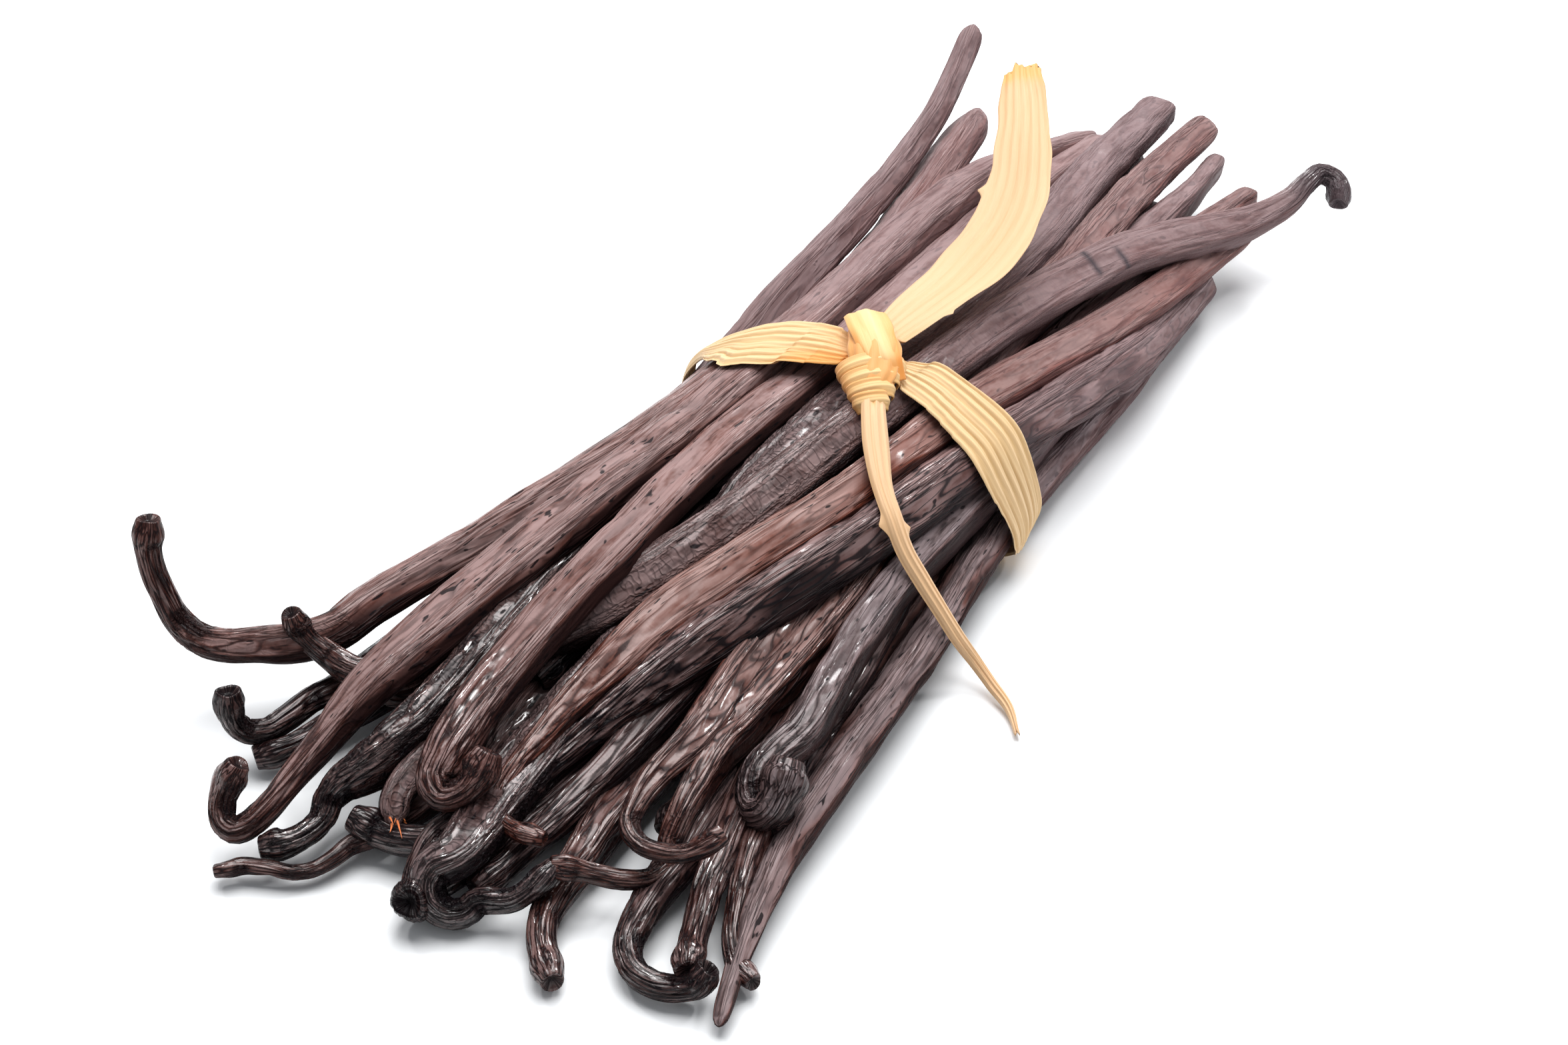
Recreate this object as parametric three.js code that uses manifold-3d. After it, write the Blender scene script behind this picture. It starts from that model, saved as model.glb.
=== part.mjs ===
// A bundle of cured vanilla pods lying on a table, tied round its waist with a strip of raffia.
// Millimetres, +Z up. X runs along the pods, from their hooked stems to their far tips, and Y across.
// The pods are laid out from the middle of the tie, at table height, and the finished bundle is then
// moved by PLACE, so that the origin lies under the middle of its box.
import * as THREE from "three";
import { mergeVertices } from "three/addons/utils/BufferGeometryUtils.js";
import Module from "manifold-3d";

// ---- driving dimensions ------------------------------------------------------------------------
const PLACE = new THREE.Vector3(0.81, -6.24, 0);
const POD_SIDES = 8;
const POD_STEP = 27; // between the rings of a straight body
const HOOK_STEP = 5; // between the rings of a curled stem
const HOOK_REACH = 24; // how far from its end a curled stem has these rings
const PLAIN_END = 8; // the same on an end without a curl
const CAP_ROUND = 0.4; // how far a pod's end is domed
const NECK_WIDTH = 2.9; // of a stem, which is round
const NECK_HELD = 0; // how far from a stem's end the neck keeps this width
const KNOB_REACH = 2.2; // the blunt knob at a stem's end
const KNOB_SHARE = 1.25; // its width against the neck's
const STEM_REACH = 36; // from there to the full body
const TIP_REACH = 34; // from a far tip back to the full body
const TIP_SHARE = 0.58; // of the body's size that is left at a far tip
const WAIST_HALF = [22, 10.5]; // half the tied waist, across and up
const SLICE_STEP = 6; // between the slices in which the pods settle
const SLICE_END = 90;
const END_ROOM = 4; // between a body's end and the first slice that its line goes through
const SETTLE_ROUNDS = 60;
const STRAIGHTEN_ROUNDS = 4; // of easing each pod's line once it lies still
const PRESSED = 0.96; // pods are pressed together to this share of their sizes
const PUSH = 0.35; // the share of an overlap that each of two pods gives way in one round
const RETURN = 0.99; // and of its shift that a pod keeps
const SUNK = 0.4; // how far a pod is pressed flat on the table
const TIE_LIFT = 1.5; // the tie under the waist lifts it off the table
const TIE_LIFT_REACH = 10;
const CORE_NEAR = [-50, 16, 4.5, 8]; // along, half width, half height, middle height
const CORE_WAIST = [0, 18.5, 7.6, 10.6];
const CORE_FAR = [54, 13, 5, 9];
const BAND_GAP = 0.3; // between the band and the pods
const BAND_THICK = 0.7;
const BAND_STEPS = 36;
const BAND_FLOOR = 0.02; // how high the band lies under the waist
const WAIST_MIDDLE = 11; // how high the waist's middle lies
const EASE_REACH = 20; // the band's bends are eased over this many degrees to each side
const EASE_STEP = 4;
const EASE_WIDTH = 8;
const TAIL_THICK = 0.6;
const TAIL_STEPS = 14;
const SLOT_ROOM = 0.35; // round a tail where it comes out of the knot
const WELD = 1e-3; // corners closer than this are one

// ---- the pods ----------------------------------------------------------------------------------
// body: where the pod lies, as along, across and up from the tie, from its near end to its far end.
// hook: how it goes on past its near end, where a stem curls. far_hook: the same at the far end.
// A pod with stem "far" was laid the other way round. Where they differ from the usual ones, a row also has
// its neck's width, how far the neck is held, the taper from there to the full body, and its tip's share.
const PODS = [
  // the top of the bundle, from the left to the right
  {
    wide: 6.6, thick: 4.8, neck: 2.8, held: 5, taper: 30, tip: 1.05,
    body: [[-65.2, 29.5, 8.5], [-59.6, 28.2, 9.5], [-43, 23, 11], [-23, 17, 14], [0, 16.5, 14.5],
      [26.3, 14.6, 14.4], [39.5, 16.7, 14.9], [52, 18.6, 15.4], [63.5, 20.5, 15.9], [72.3, 22.3, 16.4]],
    hook: [[-68.6, 32.3, 8], [-71, 35.5, 8], [-73.2, 38.7, 8], [-74.4, 41.9, 8.5], [-74.6, 44.5, 10.2],
      [-74.7, 45.9, 13], [-75, 46.8, 17], [-74.5, 47.4, 20], [-73.8, 47.3, 22.5]],
  },
  {
    wide: 7.4, thick: 4.4, neck: 2.9, held: 15, taper: 28,
    body: [[-77.2, 19.1, 8.6], [-73, 18.5, 10.6], [-51, 15, 14.5], [-31, 12.5, 16.5], [0, 11.5, 17.5],
      [57, 13, 15], [84, 10, 10]],
    hook: [[-80.9, 19.4, 7.1], [-84.8, 19.7, 5.6], [-88.5, 20, 4.3], [-90.9, 20.4, 3.7],
      [-92.2, 21.4, 3.5], [-92.1, 22.8, 4], [-91, 23.8, 5.4], [-89.7, 23.8, 7.3], [-88.6, 23.1, 9.1]],
  },
  {
    wide: 5.6, thick: 3.8, neck: 3.2, held: 5, taper: 9,
    body: [[-69.5, 5.6, 12.9], [-64.2, 6.1, 14.4], [-49, 5, 17.5], [-20, 6, 19], [0, 4.5, 18.5],
      [40, 5.5, 17], [82, 7, 12]],
    hook: [[-73.3, 5.2, 11.9], [-76.7, 4.7, 10.9], [-79.1, 4.2, 9.9], [-79.7, 2.5, 9.1],
      [-78.5, 0.8, 9.7], [-76.7, 0, 11.1], [-75.2, -0.2, 12.7]],
  },
  {
    wide: 6.6, thick: 4.4, neck: 2.3, tip: 1,
    body: [[-75.5, -0.3, 5.9], [-69.1, 0.8, 6.7], [-60, 0, 8], [-40, 0, 11], [-20, 1, 15], [0, -1.5, 17],
      [33, -4, 17], [53, -2, 15.5], [68.7, 1.6, 13.9], [82, 1.8, 13.9], [92.8, 2.1, 13.9]],
    hook: [[-80.4, -1.2, 5.7], [-85, -1.8, 6.1], [-86.4, -0.6, 5.4], [-87.8, -0.4, 4], [-88.5, -1.5, 2.4],
      [-88.2, -3.2, 1.5], [-87.2, -4.7, 1.6], [-85.9, -5.5, 2.4], [-84.3, -8.8, 3.1], [-82.5, -10.3, 4.3],
      [-80.2, -11.1, 5.7]],
  },
  {
    wide: 6, thick: 4.6, neck: 3.2, taper: 30, stem: "far",
    body: [[-65.3, 10.6, 8.6], [-58.7, 11.4, 9.4], [-44, 1, 14.5], [-27, -2, 16.5], [0, -7, 18],
      [30, -9, 15.5], [53, -13, 13], [66.3, -17.2, 9.1], [71.7, -19.8, 9], [76.3, -21.8, 9.2]],
    hook: [[-70.4, 9.6, 8.4], [-74.3, 9.1, 8], [-77.7, 9.3, 7.4], [-80.3, 9, 6.6], [-82.3, 8, 5.4]],
    far_hook: [[81, -23.5, 9.8], [85.2, -24.1, 10.8], [88.5, -24.9, 11.1], [89, -26.9, 10.4],
      [87.6, -28.3, 9.4], [86.3, -28.9, 8.8]],
  },
  {
    wide: 5.4, thick: 4.6, neck: 1.9, held: 6, taper: 32,
    body: [[-62.7, -1.3, 10], [-57.7, -0.8, 11], [-42, -5, 14], [-19, -12, 16], [0, -13.6, 16.3],
      [28, -16, 11], [45, -18, 9], [77, -19, 6]],
    hook: [[-67.2, -1.1, 9], [-72, -0.9, 8], [-75.8, -1.5, 7], [-77.8, -3.4, 6.3], [-78.2, -6, 6],
      [-77.6, -8.6, 6]],
  },
  {
    wide: 6.2, thick: 4.8,
    body: [[-70.4, -2, 5.7], [-64.5, -3.1, 6.7], [-57.7, -4.6, 8.7], [-44, -11, 12], [-25, -16, 13.5],
      [0, -18.3, 13], [35, -19, 8], [64, -18, 6.5]],
    hook: [[-73, -1.4, 5.2]],
  },
  // its right side
  {
    wide: 5.6, thick: 4.2, neck: 3, held: 10, taper: 14,
    body: [[-51.7, -24.1, 8.5], [-47.1, -23.8, 8.5], [-37, -20.5, 9], [-12, -19.5, 9.4], [0, -20, 9.4],
      [56, -14, 6]],
    hook: [[-55.2, -23.4, 8], [-57.8, -23, 7.3], [-60.4, -23.9, 6.3], [-62.3, -26, 5.8],
      [-62.3, -27.7, 6.3], [-60.7, -28.2, 8], [-58.4, -27.6, 10]],
  },
  {
    wide: 4.9, thick: 4, tip: 0.36, stem: "far",
    body: [[-61.2, -29.1, 3.6], [-53, -28, 4.3], [-42.8, -26.8, 5], [-33, -26.5, 4], [0, -20.5, 5],
      [42, -19, 3], [62, -18, 3]],
    hook: [[-69.4, -31, 3.2], [-76.6, -33.1, 2.6], [-81.6, -34.8, 2.2], [-85.2, -36.2, 1.9]],
  },
  {
    wide: 5.6, thick: 4.4, neck: 2.1, held: 8, taper: 30, tip: 0.95,
    body: [[-65.4, -15.5, 10.7], [-60.2, -16, 11.2], [-46, -14, 10.5], [0, -9, 14], [37, -9, 14.5],
      [70.2, -4.1, 11.7], [83.9, -3.9, 11.2], [95, -4.2, 11.2]],
    hook: [[-69.5, -15.7, 10.2], [-72.5, -16.4, 9.2], [-73.9, -18.7, 8.7], [-73.7, -21.4, 8.7],
      [-73, -23.5, 9], [-71.5, -25, 9.5], [-69.6, -26.2, 10.2]],
  },
  {
    wide: 5.4, thick: 4.4, neck: 2.1, held: 9, taper: 30, tip: 0.8,
    body: [[-58.1, -16.8, 9.3], [-39, -16, 9], [0, -13.6, 10.6], [71.2, -13.8, 6.4], [80.7, -14.6, 6.4],
      [87.1, -15.7, 6.4]],
    hook: [[-63.5, -17.7, 8.8], [-67.6, -18.2, 7.8], [-70.1, -18.5, 6.1], [-71.9, -19.2, 4.8],
      [-74.3, -18.8, 4.4], [-76.3, -16.8, 4.8], [-77.6, -14.7, 5.4], [-78.8, -12.4, 6.1],
      [-80.2, -10.6, 6.8]],
  },
  {
    wide: 5.4, thick: 4.4,
    body: [[-68, -19, 5], [-40, -14, 6], [0, -4, 6.4], [76, -6, 5]],
  },
  {
    wide: 4.8, thick: 4,
    body: [[-62, -27, 6], [-40, -22.5, 6], [0, -15.5, 6.5], [60, -14, 5]],
  },
  // the layer on the table, from the right to the left
  {
    wide: 5.2, thick: 4.2, neck: 2.2, held: 6, taper: 30,
    body: [[-63.6, -26.6, 5], [-40, -21, 2.6], [0, -17.5, 2.8], [62, -14, 2.6]],
    hook: [[-67.8, -28.1, 4.3], [-71.8, -29.8, 3.7], [-75.2, -31.5, 3.2], [-77.7, -33.7, 2.9],
      [-78.9, -36.4, 2.9]],
  },
  {
    wide: 5.6, thick: 4.6, neck: 2.6, held: 8, taper: 28,
    body: [[-70.8, -20.5, 4.4], [-65.8, -19.6, 4.8], [-40, -15, 2.6], [0, -12, 2.6], [70, -9, 2.6]],
    hook: [[-75.3, -20.8, 4], [-79.6, -21.6, 3.6], [-82.3, -22.6, 3.4], [-84.3, -24.8, 3.1],
      [-84.6, -27.7, 3], [-83.8, -30.2, 3.2], [-82.8, -31.8, 4], [-82.1, -32.4, 5.6]],
  },
  {
    wide: 5, thick: 4.2, neck: 2.8,
    body: [[-63.5, -23.3, 4.8], [-58.8, -21.9, 5.3], [-40, -18, 5], [0, -9.7, 6.3], [66, -10, 5]],
    hook: [[-68.1, -24.6, 4.3], [-72, -25.7, 3.8], [-76.4, -27.4, 3.6], [-80, -29, 3.7],
      [-82.6, -30.5, 4.2]],
  },
  {
    wide: 5.6, thick: 4.4, neck: 2.8,
    body: [[-69.7, -10, 4.9], [-64.5, -9.4, 5.4], [-40, -7, 3], [0, -6, 2.6], [78, -5, 2.6]],
    hook: [[-74.7, -10.7, 4.4], [-79.5, -11.2, 4.2], [-83.3, -12.1, 4], [-86, -13.8, 3.9],
      [-88.4, -16.2, 3.9], [-89.7, -17.8, 3.9]],
  },
  {
    wide: 6, thick: 4.6,
    body: [[-80.3, -6.4, 2.5], [-76.3, -7.3, 3.1], [-71.5, -8.2, 3.9], [-66.5, -9, 4.8], [-30, -11, 10],
      [0, -8, 10.3], [73, -10, 9], [92, -8, 8]],
    hook: [[-83.9, -5.7, 2.1]],
  },
  {
    wide: 5.6, thick: 4.6,
    body: [[-85.8, 0.5, 3.7], [-80.7, -0.8, 4.1], [-75.3, -2.2, 4.9], [-60, -1, 2.6], [0, 0, 2.6],
      [84, -2, 2.6]],
    hook: [[-90.6, 2.1, 3.5]],
  },
  {
    wide: 5.6, thick: 4.4, neck: 1.8,
    body: [[-79.3, -0.5, 6.4], [-75.4, -0.7, 7], [-60, 5, 4], [0, 7.5, 6.3], [70, 8, 6]],
    hook: [[-82, 0.4, 5.6], [-84.6, 0.4, 4.6], [-87, -0.2, 3.2], [-88.6, -2.1, 2.2]],
  },
  {
    wide: 5.6, thick: 4.4, neck: 1.7, held: 8,
    body: [[-80.6, 8.3, 3.6], [-77.1, 7.4, 4.2], [-60, 9, 2.6], [0, 12, 2.6], [80, 6, 2.6]],
    hook: [[-84, 9.7, 3.2], [-86, 11, 2.8], [-88.4, 11.5, 2.5], [-90.6, 12.4, 2.3], [-92.1, 14, 2.3],
      [-93, 16.1, 2.5], [-94.3, 18.9, 2.5], [-96.2, 20.9, 2.3]],
  },
  // its left side
  {
    wide: 7, thick: 4.8, neck: 2.8, held: 6, taper: 22,
    body: [[-76.1, 11.9, 6.2], [-71, 10.8, 7.2], [-65.5, 9.9, 8.2], [-54, 11, 11], [0, 12, 10.3],
      [82, 12, 4]],
    hook: [[-80.1, 13.4, 5.2], [-82.2, 14.7, 4.3], [-83.8, 15.2, 3.2], [-85.5, 14.7, 2.2],
      [-87.7, 15, 1.6], [-89.8, 16.2, 1.2], [-91.4, 18, 1]],
  },
  {
    wide: 5.2, thick: 4.2, neck: 2.6, taper: 24,
    body: [[-66.9, 19, 6.4], [-40, 20, 8], [0, 18.5, 10], [76, 17, 5]],
    hook: [[-67.6, 22.2, 6.9], [-68.8, 24.2, 7.7], [-68.8, 27.6, 8.5], [-68.9, 30.1, 9.7],
      [-69, 31.7, 11.2], [-69.2, 32, 12.7]],
  },
  {
    wide: 5, thick: 4.4, neck: 2.8, held: 8, tip: 0.9,
    body: [[-68.2, 26.1, 4.2], [-63.8, 24.8, 4.4], [-30, 21, 6], [0, 19, 7], [10, 17.2, 13.4],
      [20.9, 18.6, 14.4], [32.2, 20, 15.7], [43.3, 21.3, 16.9], [54.4, 22.8, 17.9], [64.3, 24.2, 19.4],
      [72.9, 26, 21.4], [79.5, 28, 23.2], [81.8, 28.8, 23.9]],
    hook: [[-71.6, 27.4, 4], [-75.4, 27.9, 3.8], [-78.4, 28.5, 3.8], [-80, 29.8, 4.3], [-80.7, 30.7, 5.8],
      [-80.9, 31, 7.8], [-80.7, 31, 9.8]],
  },
  {
    wide: 5.8, thick: 4.6, neck: 2.7,
    body: [[-76.9, 26.7, 3.4], [-72, 25.4, 3.5], [-60, 24, 2.8], [0, 17, 3], [74, 13, 3]],
    hook: [[-79.1, 28, 3.1], [-80.6, 29.1, 2.9]],
  },
  // pods inside, of which only the ends show
  {
    wide: 5.8, thick: 4.4,
    body: [[-62, 20, 3], [0, 6.5, 2.6], [80, 14, 2.6]],
  },
  {
    wide: 5.8, thick: 4.4, neck: 3.2,
    body: [[-72, -1.3, 4.3], [0, 4, 10], [86, 2, 8]],
    hook: [[-77.4, -0.2, 3.9], [-81.2, 2, 3.5], [-83, 5.3, 3.3], [-83.4, 8.5, 3.4], [-83.8, 11, 4.2]],
  },
  {
    wide: 5.8, thick: 4.4,
    body: [[-64, 0, 4], [0, 1.8, 6.5], [88, -1, 6]],
  },
  {
    wide: 5.8, thick: 4.4,
    body: [[-60, 12, 8], [0, 9, 14], [80, 16, 8]],
  },
  {
    wide: 5.8, thick: 4.4,
    body: [[-58, 5, 7], [0, 0.5, 13.4], [84, -2, 9]],
  },
  {
    wide: 5.4, thick: 4.4,
    body: [[-66, 22, 6], [0, 13, 6.5], [72, 18, 8]],
  },
];

// ---- how the pods lie against each other -------------------------------------------------------
const smoothstep = (x) => THREE.MathUtils.smoothstep(x, 0, 1);
const mix = (a, b, share) => a + (b - a) * share;
const sliceCount = (2 * SLICE_END) / SLICE_STEP + 1;
const slices = Array.from({ length: sliceCount }, (_, i) => i * SLICE_STEP - SLICE_END);
const nearOf = (pod) => pod.body[0];
const farOf = (pod) => pod.body[pod.body.length - 1];

// The place [across, up] of a body at one slice: a cubic whose slope at each point comes from the points
// beside it.
function bodyAt(body, x) {
  const last = body.length - 1;
  let i = 0;
  while (i < last - 1 && x >= body[i + 1][0]) i += 1;
  const slope = (k, axis) => {
    const [a, b] = [body[Math.max(k - 1, 0)], body[Math.min(k + 1, last)]];
    return (b[axis] - a[axis]) / (b[0] - a[0]);
  };
  const span = body[i + 1][0] - body[i][0];
  const u = (x - body[i][0]) / span;
  const [start, end] = [(1 + 2 * u) * (1 - u) ** 2, u * u * (3 - 2 * u)];
  const [startSlope, endSlope] = [u * (1 - u) ** 2 * span, u * u * (u - 1) * span];
  return [1, 2].map((axis) => start * body[i][axis] + startSlope * slope(i, axis)
    + end * body[i + 1][axis] + endSlope * slope(i + 1, axis));
}

// A pod is pressed flat against the bundle: the way its thin side faces, seen along the bundle, is the way
// out of an ellipse as large as the waist, at the pod's place in the waist.
function facingOf(pod) {
  const [y, z] = bodyAt(pod.body, 0);
  const out = [y / WAIST_HALF[0] ** 2, (z - WAIST_HALF[1]) / WAIST_HALF[1] ** 2];
  const size = Math.hypot(...out) || 1;
  return out.map((v) => v / size);
}

// The share of a body's full size at one slice: it thins towards both of its ends.
function girthAt(pod, x) {
  const near = smoothstep((x - nearOf(pod)[0]) / STEM_REACH);
  const far = smoothstep((farOf(pod)[0] - x) / TIP_REACH);
  return mix(TIP_SHARE, 1, near) * mix(TIP_SHARE, 1, far);
}

// How far an ellipse with the given half width and half thickness reaches in direction n.
function reachOf(half, facing, n) {
  const [wide, thick] = [n[0] * facing[1] - n[1] * facing[0], n[0] * facing[0] + n[1] * facing[1]];
  return Math.hypot(half[0] * wide, half[1] * thick);
}

// Pushes the pods apart, slice by slice, until their flattened sections only press on each other, with none
// below the table. Every pod stays stiff, because each slice shares its shift with the slices beside it.
function settle(pods) {
  const laid = pods.map((pod) => slices.map((x) => {
    if (x < nearOf(pod)[0] || x > farOf(pod)[0]) return null;
    const start = bodyAt(pod.body, x);
    return { start, at: [...start], half: [pod.wide, pod.thick].map((v) => (v / 2) * girthAt(pod, x)) };
  }));
  const facing = pods.map(facingOf);
  const lowest = (k, slot, x) => reachOf(slot.half, facing[k], [0, 1])
    + TIE_LIFT * Math.exp(-((x / TIE_LIFT_REACH) ** 2)) - SUNK;
  for (let round = 0; round < SETTLE_ROUNDS; round += 1) {
    slices.forEach((x, s) => {
      const here = laid.map((row, k) => ({ k, slot: row[s], push: [0, 0] })).filter(({ slot }) => slot);
      here.forEach((a, i) => here.slice(i + 1).forEach((b) => {
        const gap = [a.slot.at[0] - b.slot.at[0], a.slot.at[1] - b.slot.at[1]];
        const apart = Math.hypot(...gap) + 1e-6;
        const n = gap.map((v) => v / apart);
        const touching = reachOf(a.slot.half, facing[a.k], n) + reachOf(b.slot.half, facing[b.k], n);
        const short = touching * PRESSED - apart;
        if (short <= 0) return;
        [0, 1].forEach((axis) => {
          a.push[axis] += n[axis] * short * PUSH;
          b.push[axis] -= n[axis] * short * PUSH;
        });
      }));
      here.forEach(({ k, slot, push }) => {
        slot.shift = [0, 1].map((axis) => (slot.at[axis] + push[axis] - slot.start[axis]) * RETURN);
        slot.shift[1] = Math.max(slot.shift[1], lowest(k, slot, x) - slot.start[1]);
      });
    });
    laid.forEach((row) => row.forEach((slot, s) => {
      if (!slot) return;
      const beside = [row[s - 1], slot, slot, row[s + 1]].filter(Boolean);
      const shared = (axis) => beside.reduce((sum, b) => sum + b.shift[axis], 0) / beside.length;
      slot.at = [0, 1].map((axis) => slot.start[axis] + shared(axis));
    }));
  }
  for (let round = 0; round < STRAIGHTEN_ROUNDS; round += 1) {
    laid.forEach((row) => {
      const line = row.map((slot) => slot && [...slot.at]);
      row.forEach((slot, s) => {
        const [a, b, c] = [line[s - 1], line[s], line[s + 1]];
        if (a && b && c) slot.at = [0, 1].map((axis) => (a[axis] + 2 * b[axis] + c[axis]) / 4);
      });
    });
  }
  laid.forEach((row, k) => row.forEach((slot, s) => {
    if (slot) slot.at[1] = Math.max(slot.at[1], lowest(k, slot, slices[s]));
  }));
  return laid;
}

const laid = settle(PODS);

// The line along the middle of a pod from its near tip to its far tip. Its hooks go with the settled ends.
function routeOf(pod, row) {
  const shown = slices.map((x, s) => ({ x, slot: row[s] })).filter(({ slot }) => slot);
  const shiftOf = ({ slot }) => [0, slot.at[0] - slot.start[0], slot.at[1] - slot.start[1]];
  const moved = (points, shift) => points.map((p) => p.map((v, axis) => v + shift[axis]));
  const between = ({ x }) => x > nearOf(pod)[0] + END_ROOM && x < farOf(pod)[0] - END_ROOM;
  const middle = shown.filter((_, i) => i % 2 === 0).filter(between);
  return [
    ...moved([...(pod.hook ?? [])].reverse().concat([nearOf(pod)]), shiftOf(shown[0])),
    ...middle.map(({ x, slot }) => [x, ...slot.at]),
    ...moved([farOf(pod), ...(pod.far_hook ?? [])], shiftOf(shown[shown.length - 1])),
  ];
}

// ---- solids ------------------------------------------------------------------------------------
const wasm = await Module();
wasm.setup();

// A closed body from a geometry: its doubled vertices are merged and its faces of no area left out.
function solidOf(geometry) {
  geometry.deleteAttribute("normal");
  geometry.deleteAttribute("uv");
  const merged = mergeVertices(geometry, WELD);
  const index = merged.index.array;
  const faces = [];
  for (let i = 0; i < index.length; i += 3) {
    const [a, b, c] = [index[i], index[i + 1], index[i + 2]];
    if (a !== b && b !== c && c !== a) faces.push(a, b, c);
  }
  return new wasm.Manifold(new wasm.Mesh({
    numProp: 3,
    vertProperties: new Float32Array(merged.attributes.position.array),
    triVerts: new Uint32Array(faces),
  }));
}

function geometryOf(solid) {
  const { vertProperties, triVerts } = solid.getMesh();
  const geometry = new THREE.BufferGeometry();
  geometry.setAttribute("position", new THREE.BufferAttribute(vertProperties, 3));
  geometry.setIndex(new THREE.BufferAttribute(triVerts, 1));
  return geometry;
}

// Only the largest body of a join is kept, so that hollows sealed between pods are filled.
function bodyOf(solid) {
  return solid.decompose().reduce((best, piece) => (piece.volume() > best.volume() ? piece : best));
}

function curveOf(points) {
  return new THREE.CatmullRomCurve3(points.map((p) => new THREE.Vector3(...p)), false, "centripetal");
}

// Bends a blank that stands along Y from 0 to 1 onto a curve: its X becomes the width and its Z the
// thickness, which faces the way given at the curve's end and is carried along from ring to ring.
function bend(blank, curve, facing, sizeAt, turnAt = () => 0) {
  const position = blank.attributes.position;
  const heightOf = (i) => Math.fround(position.getY(i));
  const heights = new Set(Array.from({ length: position.count }, (_, i) => heightOf(i)));
  const frames = new Map();
  let out = facing.clone();
  for (const u of [...heights].sort((a, b) => b - a)) {
    const along = curve.getTangentAt(u);
    out = out.clone().addScaledVector(along, -out.dot(along)).normalize();
    const up = out.clone().applyAxisAngle(along, turnAt(u));
    const side = new THREE.Vector3().crossVectors(along, up);
    frames.set(u, { middle: curve.getPointAt(u), side, up, size: sizeAt(u) });
  }
  for (let i = 0; i < position.count; i += 1) {
    const { middle, side, up, size } = frames.get(heightOf(i));
    const point = middle.clone().addScaledVector(side, position.getX(i) * size[0]);
    position.setXYZ(i, ...point.addScaledVector(up, position.getZ(i) * size[1]));
  }
  return blank;
}

// A pod: a blunt stem on a thin round neck, which swells to the flattened body and thins to a blunt tip.
function podSolid(pod, row) {
  const curve = curveOf(routeOf(pod, row));
  const length = curve.getLength();
  const [curled, curledFar] = [pod.hook, pod.far_hook].map((hook) => (hook ? HOOK_REACH : PLAIN_END));
  const rings = [CAP_ROUND, KNOB_REACH];
  while (rings[rings.length - 1] < length - KNOB_REACH) {
    const s = rings[rings.length - 1];
    const step = s < curled || s > length - curledFar ? HOOK_STEP : POD_STEP;
    rings.push(Math.min(s + step, length - KNOB_REACH));
  }
  const profile = [[0, 0], ...rings.concat([length - CAP_ROUND]).map((s) => [1, s / length]), [0, 1]];
  const blank = new THREE.LatheGeometry(profile.map(([r, y]) => new THREE.Vector2(r, y)), POD_SIDES);
  const [y, z] = facingOf(pod);
  const { neck = NECK_WIDTH, held = NECK_HELD, taper = STEM_REACH, tip = TIP_SHARE } = pod;
  return solidOf(bend(blank, curve, new THREE.Vector3(0, y, z), (u) => {
    const fromStem = pod.stem === "far" ? (1 - u) * length : u * length;
    const swell = smoothstep((fromStem - held) / taper);
    const thinned = mix(tip, 1, smoothstep((length - fromStem) / TIP_REACH));
    const knob = fromStem < KNOB_REACH * 0.9 ? KNOB_SHARE : 1;
    return [pod.wide, pod.thick].map((v) => mix(neck, v, swell) * thinned * knob / 2);
  }));
}

// The inside of the bundle, where pods fill all the room: an ellipse in section, waisted at the tie and
// blunt at both ends.
function coreSolid() {
  const blank = new THREE.SphereGeometry(1, 14, 12).rotateZ(Math.PI / 2);
  const position = blank.attributes.position;
  for (let i = 0; i < position.count; i += 1) {
    const [t, y, z] = [position.getX(i), position.getY(i), position.getZ(i)];
    const end = t < 0 ? CORE_NEAR : CORE_FAR;
    const [, half, height, middle] = CORE_WAIST.map((v, k) => mix(v, end[k], smoothstep(Math.abs(t))));
    const blunt = 1 / Math.sqrt(Math.max(Math.hypot(y, z), 0.01));
    position.setXYZ(i, Math.abs(t) * end[0], y * blunt * half, middle + z * blunt * height);
  }
  return solidOf(blank);
}

// All that lies below the table.
function tableSolid() {
  return solidOf(new THREE.BoxGeometry(300, 200, 20).translate(0, 0, -10));
}

const pods = PODS.map((pod, k) => podSolid(pod, laid[k]));
const bundle = bodyOf(pods.reduce((sum, pod) => sum.add(pod), coreSolid()).subtract(tableSolid()));

// ---- the raffia --------------------------------------------------------------------------------
// One dry strip goes round the waist, is knotted on top, and ends in a wide and a narrow tail.
// The band at stations round the waist, in degrees from the left over the top: how far along its middle
// lies, and its width. It is folded narrow at the left edge and into the knot, and spreads over both
// shoulders.
const BAND = [
  [0, -0.5, 3], [20, -1.2, 2.8], [36, -3.2, 7.5], [48, -4, 11.4], [66, -3.3, 11.4], [80, -1.8, 9],
  [92, -1.6, 4.8], [104, -1.2, 3.8], [120, -0.4, 8.2], [140, -1.2, 9.8], [165, -1.4, 10.3],
  [175, -0.5, 8.4], [185, -1.6, 5], [210, -0.4, 4], [270, 0, 4.6], [330, -0.2, 3.4], [360, -0.5, 3],
];

function bandAt(degrees) {
  const k = BAND.findIndex(([next]) => next >= degrees);
  const [a, b] = [BAND[Math.max(k - 1, 0)], BAND[k]];
  const share = smoothstep((degrees - a[0]) / (b[0] - a[0] || 1));
  return [mix(a[1], b[1], share), mix(a[2], b[2], share)];
}

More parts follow.
